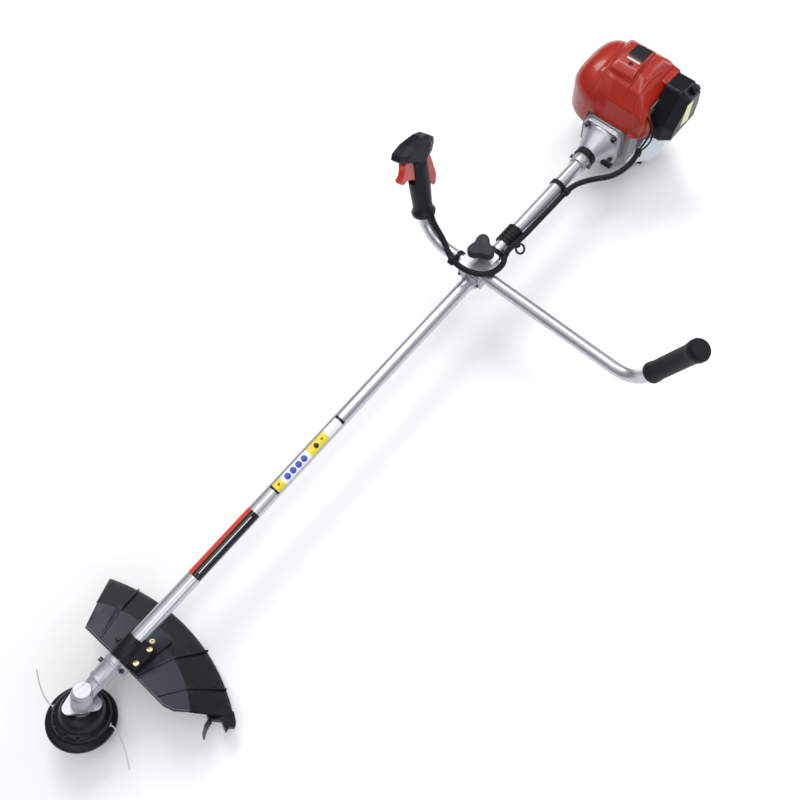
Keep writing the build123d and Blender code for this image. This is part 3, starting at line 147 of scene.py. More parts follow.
def plain_material(name, colour, rough, metal=0.0, spots=0.05, spot_scale=30.0, grain=(600, 0.05), coat=0.0,
                   stretch=(1, 1, 1), wear=0.0, wear_colour=(0.7, 0.7, 0.72), subsurface=0.0,
                   transmission=0.0, shine=0.5):
    """A procedural finish: blotches of colour and gloss, a fine grain and optional worn edges."""
    made = bpy.data.materials.new(name)
    made.use_nodes = True
    nodes = made.node_tree.nodes
    links = made.node_tree.links
    shader = nodes["Principled BSDF"]
    place = nodes.new("ShaderNodeTexCoord")
    scaling = nodes.new("ShaderNodeMapping")
    scaling.inputs["Scale"].default_value = stretch
    links.new(place.outputs["Object"], scaling.inputs["Vector"])

    blotch = nodes.new("ShaderNodeTexNoise")
    blotch.inputs["Scale"].default_value = spot_scale
    blotch.inputs["Detail"].default_value = 6
    links.new(scaling.outputs["Vector"], blotch.inputs["Vector"])
    tint = nodes.new("ShaderNodeMix")
    tint.data_type = "RGBA"
    tint.inputs["A"].default_value = (*[max(0.0, c * (1 - spots)) for c in colour], 1)
    tint.inputs["B"].default_value = (*[min(1.0, c * (1 + spots) + spots * 0.01) for c in colour], 1)
    links.new(blotch.outputs["Fac"], tint.inputs["Factor"])
    colour_out = tint.outputs["Result"]

    fine = nodes.new("ShaderNodeTexNoise")
    fine.inputs["Scale"].default_value = grain[0]
    fine.inputs["Detail"].default_value = 4
    links.new(scaling.outputs["Vector"], fine.inputs["Vector"])
    bump = nodes.new("ShaderNodeBump")
    bump.inputs["Strength"].default_value = grain[1]
    bump.inputs["Distance"].default_value = GRAIN_DEPTH
    links.new(fine.outputs["Fac"], bump.inputs["Height"])
    links.new(bump.outputs["Normal"], shader.inputs["Normal"])

    gloss = nodes.new("ShaderNodeMapRange")
    gloss.inputs["To Min"].default_value = max(0.02, rough - ROUGH_SPREAD)
    gloss.inputs["To Max"].default_value = min(1.0, rough + ROUGH_SPREAD)
    links.new(blotch.outputs["Fac"], gloss.inputs["Value"])
    links.new(gloss.outputs["Result"], shader.inputs["Roughness"])

    if wear:
        edge = nodes.new("ShaderNodeNewGeometry")
        ramp = nodes.new("ShaderNodeMapRange")
        ramp.inputs["From Min"].default_value, ramp.inputs["From Max"].default_value = WORN_EDGE
        links.new(edge.outputs["Pointiness"], ramp.inputs["Value"])
        share = nodes.new("ShaderNodeMath")
        share.operation = "MULTIPLY"
        share.inputs[1].default_value = wear
        links.new(ramp.outputs["Result"], share.inputs[0])
        worn = nodes.new("ShaderNodeMix")
        worn.data_type = "RGBA"
        worn.inputs["B"].default_value = (*wear_colour, 1)
        links.new(share.outputs["Value"], worn.inputs["Factor"])
        links.new(colour_out, worn.inputs["A"])
        colour_out = worn.outputs["Result"]
    links.new(colour_out, shader.inputs["Base Color"])

    shader.inputs["Metallic"].default_value = metal
    shader.inputs["Specular IOR Level"].default_value = shine
    shader.inputs["Coat Weight"].default_value = coat
    shader.inputs["Coat Roughness"].default_value = COAT_ROUGH
    shader.inputs["Subsurface Weight"].default_value = subsurface
    shader.inputs["Subsurface Scale"].default_value = SCATTER_DEPTH
    shader.inputs["Transmission Weight"].default_value = transmission
    return made


def build_materials():
    """Every finish on the machine, by name."""
    plain = plain_material
    return {
        "tube": plain("white_silver_tube", (0.56, 0.57, 0.61), 0.30, metal=0.80, spots=0.03,
                      grain=(500, 0.03), stretch=(0.12, 4, 4)),
        "cast": plain("cast_aluminium", (0.44, 0.45, 0.49), 0.42, metal=0.70, spots=0.08, grain=(900, 0.25),
                      wear=0.3, wear_colour=(0.85, 0.85, 0.87)),
        "cast_dark": plain("dark_casting", (0.24, 0.25, 0.27), 0.50, metal=0.5, spots=0.08,
                           grain=(900, 0.25)),
        "steel": plain("bright_steel", (0.52, 0.52, 0.54), 0.28, metal=1.0, spots=0.05, grain=(400, 0.06)),
        "black_steel": plain("black_screw", (0.014, 0.014, 0.016), 0.36, metal=0.5, spots=0.1,
                             grain=(900, 0.08), wear=0.3, wear_colour=(0.20, 0.20, 0.21)),
        "gold_steel": plain("zinc_screw", (0.50, 0.44, 0.26), 0.30, metal=0.9, spots=0.08, grain=(700, 0.06)),
        "rubber": plain("black_rubber", (0.006, 0.006, 0.008), 0.50, spots=0.15, grain=(1200, 0.18),
                        shine=0.22),
        "plastic": plain("satin_black_plastic", (0.006, 0.0065, 0.009), 0.36, spots=0.12, grain=(1600, 0.16),
                         wear=0.15, wear_colour=(0.04, 0.04, 0.045), shine=0.22),
        "grip": plain("slate_black_plastic", (0.008, 0.0095, 0.015), 0.40, spots=0.12, grain=(1500, 0.22),
                      wear=0.2, wear_colour=(0.045, 0.045, 0.055), shine=0.25),
        "knob": plain("slate_knob", (0.011, 0.013, 0.021), 0.45, spots=0.08, grain=(1500, 0.2), wear=0.2,
                      wear_colour=(0.05, 0.05, 0.065), shine=0.25),
        "hood": plain("red_hood", (0.35, 0.017, 0.006), 0.26, spots=0.06, spot_scale=14, grain=(260, 0.03),
                      coat=0.15, shine=0.4),
        "red": plain("red_lever", (0.62, 0.028, 0.010), 0.33, spots=0.06, grain=(700, 0.08), coat=0.2),
        "pink": plain("pink_red_lever", (0.52, 0.085, 0.085), 0.34, spots=0.06, grain=(700, 0.08)),
        "tank": plain("milky_tank", (0.80, 0.83, 0.87), 0.34, spots=0.03, grain=(300, 0.06), subsurface=0.25),
        "foam": plain("filter_foam", (0.08, 0.08, 0.08), 0.95, spots=0.4, spot_scale=400, grain=(700, 1.0)),
        "nylon": plain("nylon_line", (0.50, 0.51, 0.53), 0.32, spots=0.05, grain=(900, 0.1), subsurface=0.2),
        "bush": plain("bush_plastic", (0.62, 0.58, 0.48), 0.5, spots=0.06),
        "hose": plain("fuel_hose", (0.06, 0.055, 0.045), 0.25, spots=0.1, grain=(500, 0.05),
                      transmission=0.1),
        "cream": plain("cream_label", (0.78, 0.76, 0.42), 0.42, spots=0.03, grain=(900, 0.03)),
        "decal_black": plain("black_label", (0.008, 0.008, 0.010), 0.25, spots=0.08, grain=(700, 0.02),
                             coat=0.2, shine=0.3),
        "decal_pale": plain("pale_print", (0.62, 0.60, 0.60), 0.35, spots=0.03, grain=(700, 0.02)),
        # Near-black painted shade, standing in for the dark inside of a hole.
        "hole": plain("painted_shade_hole", (0.004, 0.004, 0.004), 0.8, spots=0.2),
    }


def painted_light_where(made, direction, low, high, colour, place=None, least=0.0):
    """Paints light into a finish where its surface faces a direction, and, if asked, only past a place along
    it.
    """
    nodes = made.node_tree.nodes
    links = made.node_tree.links
    shader = nodes["Principled BSDF"]
    before = shader.inputs["Base Color"].links[0].from_socket
    geometry = nodes.new("ShaderNodeNewGeometry")
    facing = nodes.new("ShaderNodeVectorMath")
    facing.operation = "DOT_PRODUCT"
    facing.inputs[1].default_value = direction
    links.new(geometry.outputs["True Normal"], facing.inputs[0])
    share = nodes.new("ShaderNodeMapRange")
    share.inputs["From Min"].default_value = low
    share.inputs["From Max"].default_value = high
    links.new(facing.outputs["Value"], share.inputs["Value"])
    amount = share.outputs["Result"]
    if place is not None:
        coordinates = nodes.new("ShaderNodeTexCoord")
        away = nodes.new("ShaderNodeVectorMath")
        away.operation = "DOT_PRODUCT"
        away.inputs[1].default_value = direction
        links.new(coordinates.outputs["Object"], away.inputs[0])
        past = nodes.new("ShaderNodeMath")
        past.operation = "GREATER_THAN"
        past.inputs[1].default_value = place.dot(direction) + least
        links.new(away.outputs["Value"], past.inputs[0])
        both = nodes.new("ShaderNodeMath")
        both.operation = "MULTIPLY"
        links.new(amount, both.inputs[0])
        links.new(past.outputs["Value"], both.inputs[1])
        amount = both.outputs["Value"]
    mix = nodes.new("ShaderNodeMix")
    mix.data_type = "RGBA"
    mix.inputs["B"].default_value = (*colour, 1)
    links.new(amount, mix.inputs["Factor"])
    links.new(before, mix.inputs["A"])
    links.new(mix.outputs["Result"], shader.inputs["Base Color"])
    return made


def guard_material():
    """Glossy black plastic, with a painted highlight of slate grey on the flat top only, where the light
    falls.
    """
    made = plain_material("guard_plastic", (0.0035, 0.004, 0.006), 0.28, spots=0.10, spot_scale=20,
                          grain=(240, 0.05), wear=0.2, wear_colour=(0.03, 0.03, 0.035), shine=0.16)
    # The slate grey on the flat top is a painted highlight, not a second colour of the plastic.
    return painted_light_where(made, HEAD_UP, 0.95, 0.99, (0.034, 0.037, 0.053), APEX, 0.011)


# Mesh helpers
def attach(piece, body):
    """The piece moves with a CAD body."""
    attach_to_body(piece, body)


def mm_points(points):
    """Vectors in metres from points in millimetres."""
    return [Vector(point) * MM for point in points]


def put_mesh(name, points, faces, material, smooth=True):
    """A mesh object with one finish."""
    mesh = bpy.data.meshes.new(name)
    mesh.from_pydata([tuple(point) for point in points], [], faces)
    mesh.update()
    mesh.materials.append(material)
    if smooth:
        mesh.shade_smooth()
    made = bpy.data.objects.new(name, mesh)
    bpy.context.scene.collection.objects.link(made)
    return made


def grid_faces(rows, columns, closed=False):
    """Quads between rows of points, each row closed into a ring if asked."""
    faces = []
    last = columns if closed else columns - 1
    for row in range(rows - 1):
        for column in range(last):
            a = row * columns + column
            b = row * columns + (column + 1) % columns
            faces.append((a, b, b + columns, a + columns))
    return faces


def spline_line(name, points, order=3, resolution=12):
    """Points along the NURBS curve that has the given control points."""
    data = bpy.data.curves.new(name, "CURVE")
    data.dimensions = "3D"
    spline = data.splines.new("NURBS")
    spline.points.add(len(points) - 1)
    for target, point in zip(spline.points, points):
        target.co = (*point, 1)
    spline.order_u = order
    spline.use_endpoint_u = True
    data.resolution_u = resolution
    holder = bpy.data.objects.new(name, data)
    bpy.context.scene.collection.objects.link(holder)
    bpy.context.view_layer.update()
    mesh = bpy.data.meshes.new_from_object(holder)
    line = [vertex.co.copy() for vertex in mesh.vertices]
    bpy.data.objects.remove(holder)
    bpy.data.meshes.remove(mesh)
    return line


def even_line(line, step):
    """The same line with evenly spaced points, and its length."""
    lengths = [0.0]
    for a, b in zip(line, line[1:]):
        lengths.append(lengths[-1] + (b - a).length)
    count = max(2, round(lengths[-1] / step))
    made = []
    index = 0
    for number in range(count + 1):
        want = lengths[-1] * number / count
        while index < len(lengths) - 2 and lengths[index + 1] < want:
            index += 1
        share = (want - lengths[index]) / max(1e-9, lengths[index + 1] - lengths[index])
        made.append(line[index].lerp(line[index + 1], min(1.0, share)))
    return made, lengths[-1]


def sweep_tube(name, line, radius_at, sides, material):
    """A tube along a line, with a radius that may change from point to point, and closed ends."""
    points = []
    side = None
    for index, point in enumerate(line):
        ahead = line[min(index + 1, len(line) - 1)] - line[max(index - 1, 0)]
        ahead.normalize()
        if side is None:
            side = ahead.orthogonal()
        side = (side - ahead * side.dot(ahead)).normalized()
        other = ahead.cross(side)
        radius = radius_at(index)
        for step in range(sides):
            angle = 2 * math.pi * step / sides
            points.append(point + (side * math.cos(angle) + other * math.sin(angle)) * radius)
    faces = grid_faces(len(line), sides, closed=True)
    faces.append(tuple(reversed(range(sides))))
    start = (len(line) - 1) * sides
    faces.append(tuple(range(start, start + sides)))
    return put_mesh(name, points, faces, material)


def turned(name, centre, axis, outline, material, sides=48):
    """A solid of revolution from (radius, height) points about an axis."""
    axis = Vector(axis).normalized()
    side = axis.orthogonal().normalized()
    other = axis.cross(side)
    points = []
    for radius, height in outline:
        for step in range(sides):
            angle = 2 * math.pi * step / sides
            out = side * math.cos(angle) + other * math.sin(angle)
            points.append(Vector(centre) + axis * height + out * max(radius, 1e-5))
    return put_mesh(name, points, grid_faces(len(outline), sides, closed=True), material)


def bevel(piece, width, angle=30.0, segments=2):
    """Small rounded edges."""
    modifier = piece.modifiers.new("bevel", "BEVEL")
    modifier.width = width
    modifier.segments = segments
    modifier.limit_method = "ANGLE"
    modifier.angle_limit = math.radians(angle)
    modifier.harden_normals = False


# Cutting line, the two free ends, with the route that part.py gives in the cutting head's own frame
LINE_D = 0.0024
LINE_ROUTE = ((47, 0, -73), (56, -1, -74), (68, -8, -75.5), (81, -20, -78), (92, -32, -80.5),
              (102, -45, -83), (111, -58, -85))
LINE_ANGLES = (118.0, 298.0)


def head_point(out, side, up):
    """A point of the cutting head's own frame, given in millimetres."""
    return APEX + (HEAD_OUT * out + Vector((0, 1, 0)) * side + HEAD_UP * up) * MM


def make_lines():
    """The two ends of nylon line."""
    for number, angle in enumerate(LINE_ANGLES):
        turn = math.radians(angle)
        route = []
        for x, y, up in LINE_ROUTE:
            route.append(head_point(x * math.cos(turn) - y * math.sin(turn),
                                    x * math.sin(turn) + y * math.cos(turn), up))
        data = bpy.data.curves.new(f"cutting_line_{number}", "CURVE")
        data.dimensions = "3D"
        spline = data.splines.new("NURBS")
        spline.points.add(len(route) - 1)
        for target, point in zip(spline.points, route):
            target.co = (*point, 1)
        spline.order_u = 3
        spline.use_endpoint_u = True
        data.resolution_u = 12
        data.bevel_depth = LINE_D / 2
        data.bevel_resolution = 4
        data.use_fill_caps = True
        data.materials.append(FINISH["nylon"])
        line = bpy.data.objects.new(f"cutting_line_{number}", data)
        bpy.context.scene.collection.objects.link(line)
        attach(line, "spindle")
        if number == 0:
            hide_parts("trimmer_line")


# Control conduit, a fixed run from the engine to the throttle grip, and the thin cables that join it
CABLE_R = 0.006
CABLE_PITCH = 0.0032
CABLE_GROOVE = 0.0007
CABLE_ROUTE = (
    (43, 80, 149), (54, 82, 139), (87, 80, 135), (118, 68, 134), (142, 46, 135), (172, 26, 135),
    (200, 20.8, 135), (250, 21, 136), (300, 20.8, 139), (332, 23, 146), (362, 24, 154), (388, 22, 156),
    (403, 27, 157), (416, 35, 160), (434, 38.5, 168.5), (453, 39.5, 180), (472, 31, 188), (484, 10, 190),
    (486, -12, 187), (482, -36, 182), (471, -58, 182), (460, -76, 185), (454.5, -93, 192),
    (449.7, -113.7, 208.3), (445.2, -119.3, 226.0))
THIN_CABLES = (
    ("throttle_cable", 0.0021,
     ((14, 58, 214), (16, 74, 210), (24, 86, 196), (36, 86, 176), (42, 82, 160), (44, 80, 150))),
    ("stop_wire", 0.0017,
     ((6, 64, 190), (12, 82, 184), (22, 92, 172), (38, 89, 160), (46, 82, 152), (47, 80, 146))),
)
FUEL_HOSE_R = 0.0022
FUEL_HOSES = (
    ("fuel_hose_a", ((-62, 76, 117), (-60, 84, 124), (-44, 84, 130), (-26, 76, 138), (-14, 68, 150))),
    ("fuel_hose_b", ((-74, 78, 117), (-72, 88, 125), (-48, 90, 132), (-24, 82, 142), (-10, 70, 156))),
)
ROUTE_STEP = 0.003


def make_conduit():
    """The corrugated conduit, a fixed run."""
    line, _ = even_line(spline_line("conduit_route", mm_points(CABLE_ROUTE)), CABLE_PITCH / 4)

    def radius_at(index):
        return CABLE_R - CABLE_GROOVE * (0.5 + 0.5 * math.cos(index * math.pi / 2)) ** 0.7

    conduit = sweep_tube("control_conduit", line, radius_at, 14, FINISH["rubber"])
    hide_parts("control_cable")
    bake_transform(conduit)


def plain_hose(name, radius, route, finish):
    """A thin hose or cable of one radius on the frame."""
    line, _ = even_line(spline_line(name, mm_points(route)), ROUTE_STEP)
    attach(sweep_tube(name, line, lambda index: radius, 10, finish), "frame")


def make_thin_cables():
    """The throttle cable and the stop wire up to the conduit, and the boot where they join it."""
    for name, radius, route in THIN_CABLES:
        plain_hose(name, radius, route, FINISH["rubber"])
    boot = turned("conduit_boot", (0.0412, 0.0795, 0.1515), (0.40, 0.10, -0.9), [
        (0, 0), (0.0052, 0), (0.0066, 0.003), (0.0070, 0.012), (0.0066, 0.014)], FINISH["plastic"], 24)
    attach(boot, "frame")


# Throttle grip
GRIP_PLACE = Vector((0.461, -0.119, 0.162))
GRIP_FORWARD = Vector((0.9708, 0.0, 0.2401))
GRIP_SIDE = Vector((-0.0696, 0.9571, 0.2813))
GRIP_UP = Vector((-0.2298, -0.2897, 0.9291))
HANDLE_RINGS = (
    (50, 19.5, 20, 20), (51.5, 22, 23, 22), (58, 23, 24, 23), (61.5, 21.5, 22, 21.5), (65, 19.2, 19.5, 19),
    (78, 19, 18.8, 18.5), (95, 20, 20, 19), (112, 20.8, 21.6, 19.6), (126, 20.8, 22.4, 19.6),
    (141, 19.8, 22, 19), (155.7, 19.2, 21.4, 18.2), (172.2, 18.6, 21, 17.6))
HEAD_MIDDLE = (
    (-38, 168.5), (-10, 164.8), (12, 168.5), (30, 178.6), (44, 184.1), (49, 190.6), (44, 199.4),
    (20, 206.6), (-14, 207.4), (-32, 203.4), (-45, 192.2), (-44, 179.5))
HEAD_NEAR = (
    (-12, 168.5), (-2, 168.5), (10, 172.2), (28, 181.3), (34, 184.1), (37, 189.8), (31, 197), (15, 201.8),
    (-12, 202.6), (-25, 197), (-28, 190.6), (-23, 181.3))
HEAD_FAR = (
    (-32, 172.2), (-8, 169.4), (12, 173.1), (28, 181.3), (39, 185.8), (42, 191.4), (37, 197.8),
    (18, 203.4), (-14, 204.2), (-29, 200.2), (-40, 191.4), (-39, 181.3))
TRIGGER_SIDE = (
    (8, 181.3), (30, 183.2), (38, 177.7), (40.5, 166.7), (44, 157.5), (53, 152), (52, 145.6), (46, 142.8),
    (36, 145.6), (24, 140.1), (9, 130), (6, 133.7))
TRIGGER_HALF = 8
# Sideways place, outline and scale of each section through the head, and the point that they scale about
HEAD_STATIONS = (
    (-18.5, HEAD_FAR, 0.93), (-17.5, HEAD_FAR, 1.0), (-13, HEAD_MIDDLE, 1.0), (7, HEAD_MIDDLE, 1.0),
    (16.5, HEAD_NEAR, 1.0), (17.8, HEAD_NEAR, 0.93))
HEAD_CORE = (4, 188)
# Forward, sideways and upward limits of the slots for the trigger, the lock-out lever and the stop switch
GRIP_SLOTS = (
    ("cut_front", (-8, 70), (-8.7, 8.7), (127, 182.3)),
    ("cut_back", (-70, -13), (-7.7, 7.7), (92, 178)),
    ("cut_switch", (-70, -34), (-5.3, 5.3), (178, 192.3)),
)
RIDGE_SIDES = (-10.5, -6, -1.5)
RIDGE_LINE = ((40, 200.2, -0.8), (20, 206.6, 1.3), (-14, 207.4, 1.3), (-30, 203.4, -0.8))


def grip_point(forward, side, up):
    """A point in the throttle grip's own frame, given in millimetres."""
    return GRIP_PLACE + (GRIP_FORWARD * forward + GRIP_SIDE * side + GRIP_UP * up) * MM


def lofted(name, rings, material, smooth=True):
    """A closed solid through rings of points."""
    count = len(rings[0])
    faces = grid_faces(len(rings), count, closed=True)
    faces.append(tuple(reversed(range(count))))
    faces.append(tuple(range((len(rings) - 1) * count, len(rings) * count)))
    made = put_mesh(name, [point for ring in rings for point in ring], faces, material, smooth)
    shell = bmesh.new()
    shell.from_mesh(made.data)
    bmesh.ops.recalc_face_normals(shell, faces=shell.faces)
    shell.to_mesh(made.data)
    shell.free()
    return made


def grip_block(name, forward, side, up):
    """A plain block in the grip's frame, used to cut a slot."""
    rings = []
    for height in up:
        rings.append([grip_point(forward[0], side[0], height), grip_point(forward[1], side[0], height),
                      grip_point(forward[1], side[1], height), grip_point(forward[0], side[1], height)])
    return lofted(name, rings, FINISH["hole"], smooth=False)


def carved(piece, cutters):
    """The piece with the cutters' solids taken out of it."""
    for cutter in cutters:
        cut = piece.modifiers.new("cut", "BOOLEAN")
        cut.operation = "DIFFERENCE"
        cut.solver = "EXACT"
        cut.object = cutter
    graph = bpy.context.evaluated_depsgraph_get()
    mesh = bpy.data.meshes.new_from_object(piece.evaluated_get(graph))
    piece.modifiers.clear()
    piece.data = mesh
    return piece


def make_grip():
    """The throttle grip: a swelling handle, a wedge-shaped head with ridges, and the trigger."""
    sides = 40
    rings = []
    for up, front, back, half in HANDLE_RINGS:
        ring = []
        for step in range(sides):
            angle = 2 * math.pi * step / sides
            reach = front if math.cos(angle) > 0 else back
            ring.append(grip_point(reach * math.cos(angle), half * math.sin(angle), up))
        rings.append(ring)
    handle = lofted("throttle_handle", rings, FINISH["grip"])
    core_f, core_h = HEAD_CORE
    rings = []
    for side, outline, scale in HEAD_STATIONS:
        rings.append([grip_point(core_f + (f - core_f) * scale, side, core_h + (h - core_h) * scale)
                      for f, h in outline])
    head = lofted("throttle_head", rings, FINISH["grip"], smooth=False)
    cutters = [grip_block(*slot) for slot in GRIP_SLOTS]
    carved(handle, cutters)
    carved(head, cutters)
    for cutter in cutters:
        bpy.data.objects.remove(cutter)
    bevel(head, 0.0016, 30, 3)
    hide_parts("throttle_grip")
    pieces = [handle, head]
    for number, side in enumerate(RIDGE_SIDES):
        rings = []
        for f, h, rise in RIDGE_LINE:
            section = ((-1.2, -2), (-0.7, rise), (0.7, rise), (1.2, -2))
            rings.append([grip_point(f, side + across, h + up) for across, up in section])
        pieces.append(lofted(f"throttle_ridge_{number}", rings, FINISH["grip"], smooth=False))
    for piece in pieces:
        attach(piece, "handlebar")
    red = plain_material("trigger_red_painted_sheen", (0.64, 0.028, 0.010), 0.33, spots=0.05, grain=(700, 0.08), coat=0.2)
    # The side of the trigger that faces the camera is painted a pinker red: a painted highlight.
    lever = painted_light_where(red, GRIP_SIDE, 0.80, 0.95, (0.55, 0.10, 0.10))
    rings = [[grip_point(f, side, h) for f, h in TRIGGER_SIDE] for side in (-TRIGGER_HALF, TRIGGER_HALF)]
    trigger = lofted("trigger_lever", rings, lever, smooth=False)
    bevel(trigger, 0.0022, 35, 3)
    attach(trigger, "trigger")
    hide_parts("throttle_trigger")


# Clamp: height, whether the section has lobes, and its radius, or how far it stands from the lobes' outline
KNOB_X = 440
KNOB_RADIUS = 22.4
KNOB_LOBE = 5.2
KNOB_RINGS = (
    (149.5, 0, 4.0), (186.5, 0, 4.0), (187, 0, 8.5), (199, 0, 9.5), (199.2, 1, -3.4), (200, 1, -1.2),
    (202, 1, 0), (214, 1, 0), (216, 1, -1.0), (217, 1, -3.2), (216.2, 1, -8.0))


def clamp_block(name, low, high, finish):
    """A thin block with rounded edges on the clamp's front face, between two corners in millimetres."""
    outline = [(low[1], low[2]), (high[1], low[2]), (high[1], high[2]), (low[1], high[2])]
    rings = [mm_points([(x, y, z) for y, z in outline]) for x in (low[0], high[0])]
    made = lofted(name, rings, finish, smooth=False)
    bevel(made, 0.0005, 30)
    attach(made, "frame")


def make_clamp_parts():
    """The three-lobed knob, and the clamp's front plate with its two slots."""
    sides = 60
    rings = []
    for height, lobed, reach in KNOB_RINGS:
        ring = []
        for step in range(sides):
            angle = 2 * math.pi * step / sides
            radius = reach + lobed * (KNOB_RADIUS + KNOB_LOBE * math.cos(3 * (angle - math.pi / 2)))
            ring.append((KNOB_X + radius * math.cos(angle), radius * math.sin(angle), height))
        rings.append(mm_points(ring))
    knob = lofted("knob_head", rings, FINISH["knob"])
    bevel(knob, 0.0004, 50)
    attach(knob, "knob")
    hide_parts("clamp_knob")

    clamp_block("clamp_plate", (476.5, -26, 140), (479, 26, 172), FINISH["cast"])
    for number, y in enumerate((-21, 5)):
        clamp_block(f"clamp_slot_rim_{number}", (478.6, y - 1, 151), (479.6, y + 17, 166),
                    FINISH["black_steel"])
        clamp_block(f"clamp_slot_{number}", (479.2, y + 0.6, 152.6), (480.0, y + 15.4, 164.4),
                    FINISH["cast"])
    for number, y in enumerate((-22, 22)):
        screw = turned(f"clamp_plate_screw_{number}", (0.479, y * MM, 0.1445), (1, 0, 0), [
            (0.0026, -0.001), (0.0026, 0.0022), (0.0021, 0.0028), (0.0013, 0.0028), (0.0013, 0.0012),
            (0, 0.0012)], FINISH["black_steel"], 24)
        attach(screw, "frame")


# Guard: the runs of its front edge, and the section of the lip on it, in the cutting head's own frame
LIP_RUNS = (((-76.8, -92), (-79.2, -19)), ((-79.2, 19), (-80.4, 106), (-87.4, 125), (-104, 143)))
LIP_SECTION = ((-0.2, 14.5), (-1.8, 14.5), (-1.5, 17.6), (-0.5, 17.6))


def make_guard_lip():
    """The raised lip along the guard's straight front edge."""
    finish = plain_material("guard_lip", (0.11, 0.115, 0.135), 0.30, spots=0.1, grain=(300, 0.05), shine=0.3)
    for number, run in enumerate(LIP_RUNS):
        rings = [[head_point(u + out, v, up) for out, up in LIP_SECTION] for u, v in run]
        attach(lofted(f"guard_lip_{number}", rings, finish, smooth=False), "frame")


# Engine hood
HOOD_OUTLINE = (
    (47, -57), (47.5, -30), (47.5, 25), (46, 50), (38, 66), (30, 76), (14, 84), (8, 84), (8, 60.5),
    (-40, 60.5), (-88, 58), (-99, 50), (-101, 20), (-101, -60), (-98, -84), (-86, -104), (-60, -115.5),
    (-30, -118), (0, -114), (22, -102), (38, -82))
HOOD_CENTRE = (8.3, -15.0)
HOOD_LOW = 8.0
HOOD_EDGE = 7.0
HOOD_WALL = 0.0022
# Heights above the shaft's axis, from the back to the front and from the right to the left
HOOD_ALONG = (
    (-104, 96), (-96, 112), (-80, 125), (-50, 127), (-22, 124), (6, 110), (30, 84), (45, 46), (48, 40))
HOOD_ACROSS = (
    (-66, 60), (-60, 108), (-50, 120), (-38, 127), (14, 127), (24, 123), (44, 108), (57, 94), (62, 84),
    (80, 56), (86, 40))
# The round lobe on the right, the bead where it meets the centre part, and the raised boss behind the label
LOBE_X, LOBE_Y = -34, -58
LOBE_HALF_X, LOBE_HALF_Y = 90, 63
LOBE_LOW, LOBE_RISE = 12, 104
BEAD_RISE, BEAD_SPREAD = 2.6, 5.0
BOSS_RISE = 7.0
# How far the lower edge rises over the clutch housing, and over the carburettor at the front left
ARCH_RISE = 39.0
CORNER_RISE = 26.0
CREASE_RIGHT = ((-84, -66), (-62, -62.5), (-36, -56.5), (-5, -50), (17, -48), (33, -48), (44, -48.5))
CREASE_LEFT = ((-62, 37), (-44, 34), (-12, 33), (10, 36), (24, 42), (33, 48), (40, 56))
# Share of the half width and share of the rise, and the depth that a crease's feet sink into the hood
CREASE_SECTION = ((-0.55, 0.55), (-0.15, 1), (0.15, 1), (0.55, 0.55))
SUNK = -0.8
RIB_Y = 9.5
DUCT_OUTLINE = ((28, 74), (28, 104), (31, 108), (58, 103), (61.5, 99), (61.5, 74))
DUCT_STATIONS = ((-98, 0.86), (-96, 1.0), (-53, 1.0), (-51, 0.86))


def ramp_between(value, table):
    """Straight runs between (value, height) pairs."""
    if value <= table[0][0]:
        return table[0][1]
    for (a, low), (b, high) in zip(table, table[1:]):
        if value <= b:
            return low + (high - low) * (value - a) / (b - a)
    return table[-1][1]


def soft_least(a, b, blend):
    """The lesser of two heights, rounded where they meet."""
    share = max(0.0, min(1.0, 0.5 + 0.5 * (b - a) / blend))
    return b * (1 - share) + a * share - blend * share * (1 - share)


def soft_most(a, b, blend):
    """The greater of two heights, rounded where they meet."""
    return -soft_least(-a, -b, blend)


def step_in(value, low, high, blend):
    """One between two limits and zero outside them, with a soft edge."""
    rise = max(0.0, min(1.0, (value - low) / blend + 0.5))
    fall = max(0.0, min(1.0, (high - value) / blend + 0.5))
    return (rise * rise * (3 - 2 * rise)) * (fall * fall * (3 - 2 * fall))


def hood_height(x, y):
    """The hood's top above the shaft's axis, in millimetres: a centre part, a round lobe and a boss."""
    centre = soft_least(ramp_between(x, HOOD_ALONG), ramp_between(y, HOOD_ACROSS), 9)
    reach = 1 - abs((x - LOBE_X) / LOBE_HALF_X) ** 2.7 - abs((y - LOBE_Y) / LOBE_HALF_Y) ** 2.5
    lobe = LOBE_LOW + LOBE_RISE * reach ** (1 / 2.3) if reach > 0 else LOBE_LOW
    height = soft_most(centre, lobe, 2)
    height += BEAD_RISE * math.exp(-((centre - lobe) / BEAD_SPREAD) ** 2)
    boss = step_in(x, -80 - 0.1 * y, -4, 4) * step_in(y, -45, 7.5, 4)
    return height + BOSS_RISE * boss


def outline_points(outline, count):
    """A closed outline with rounded corners, as evenly spaced points."""
    points = [Vector(point) for point in outline]
    for _ in range(3):
        cut = []
        for a, b in zip(points, points[1:] + points[:1]):
            cut.append(a.lerp(b, 0.25))
            cut.append(a.lerp(b, 0.75))
        points = cut
    ring = [Vector((point.x, point.y, 0)) for point in points]
    round_it = sum((b - a).length for a, b in zip(ring, ring[1:]))
    line, _ = even_line(ring + [ring[0]], round_it / count)
    return line[:-1]


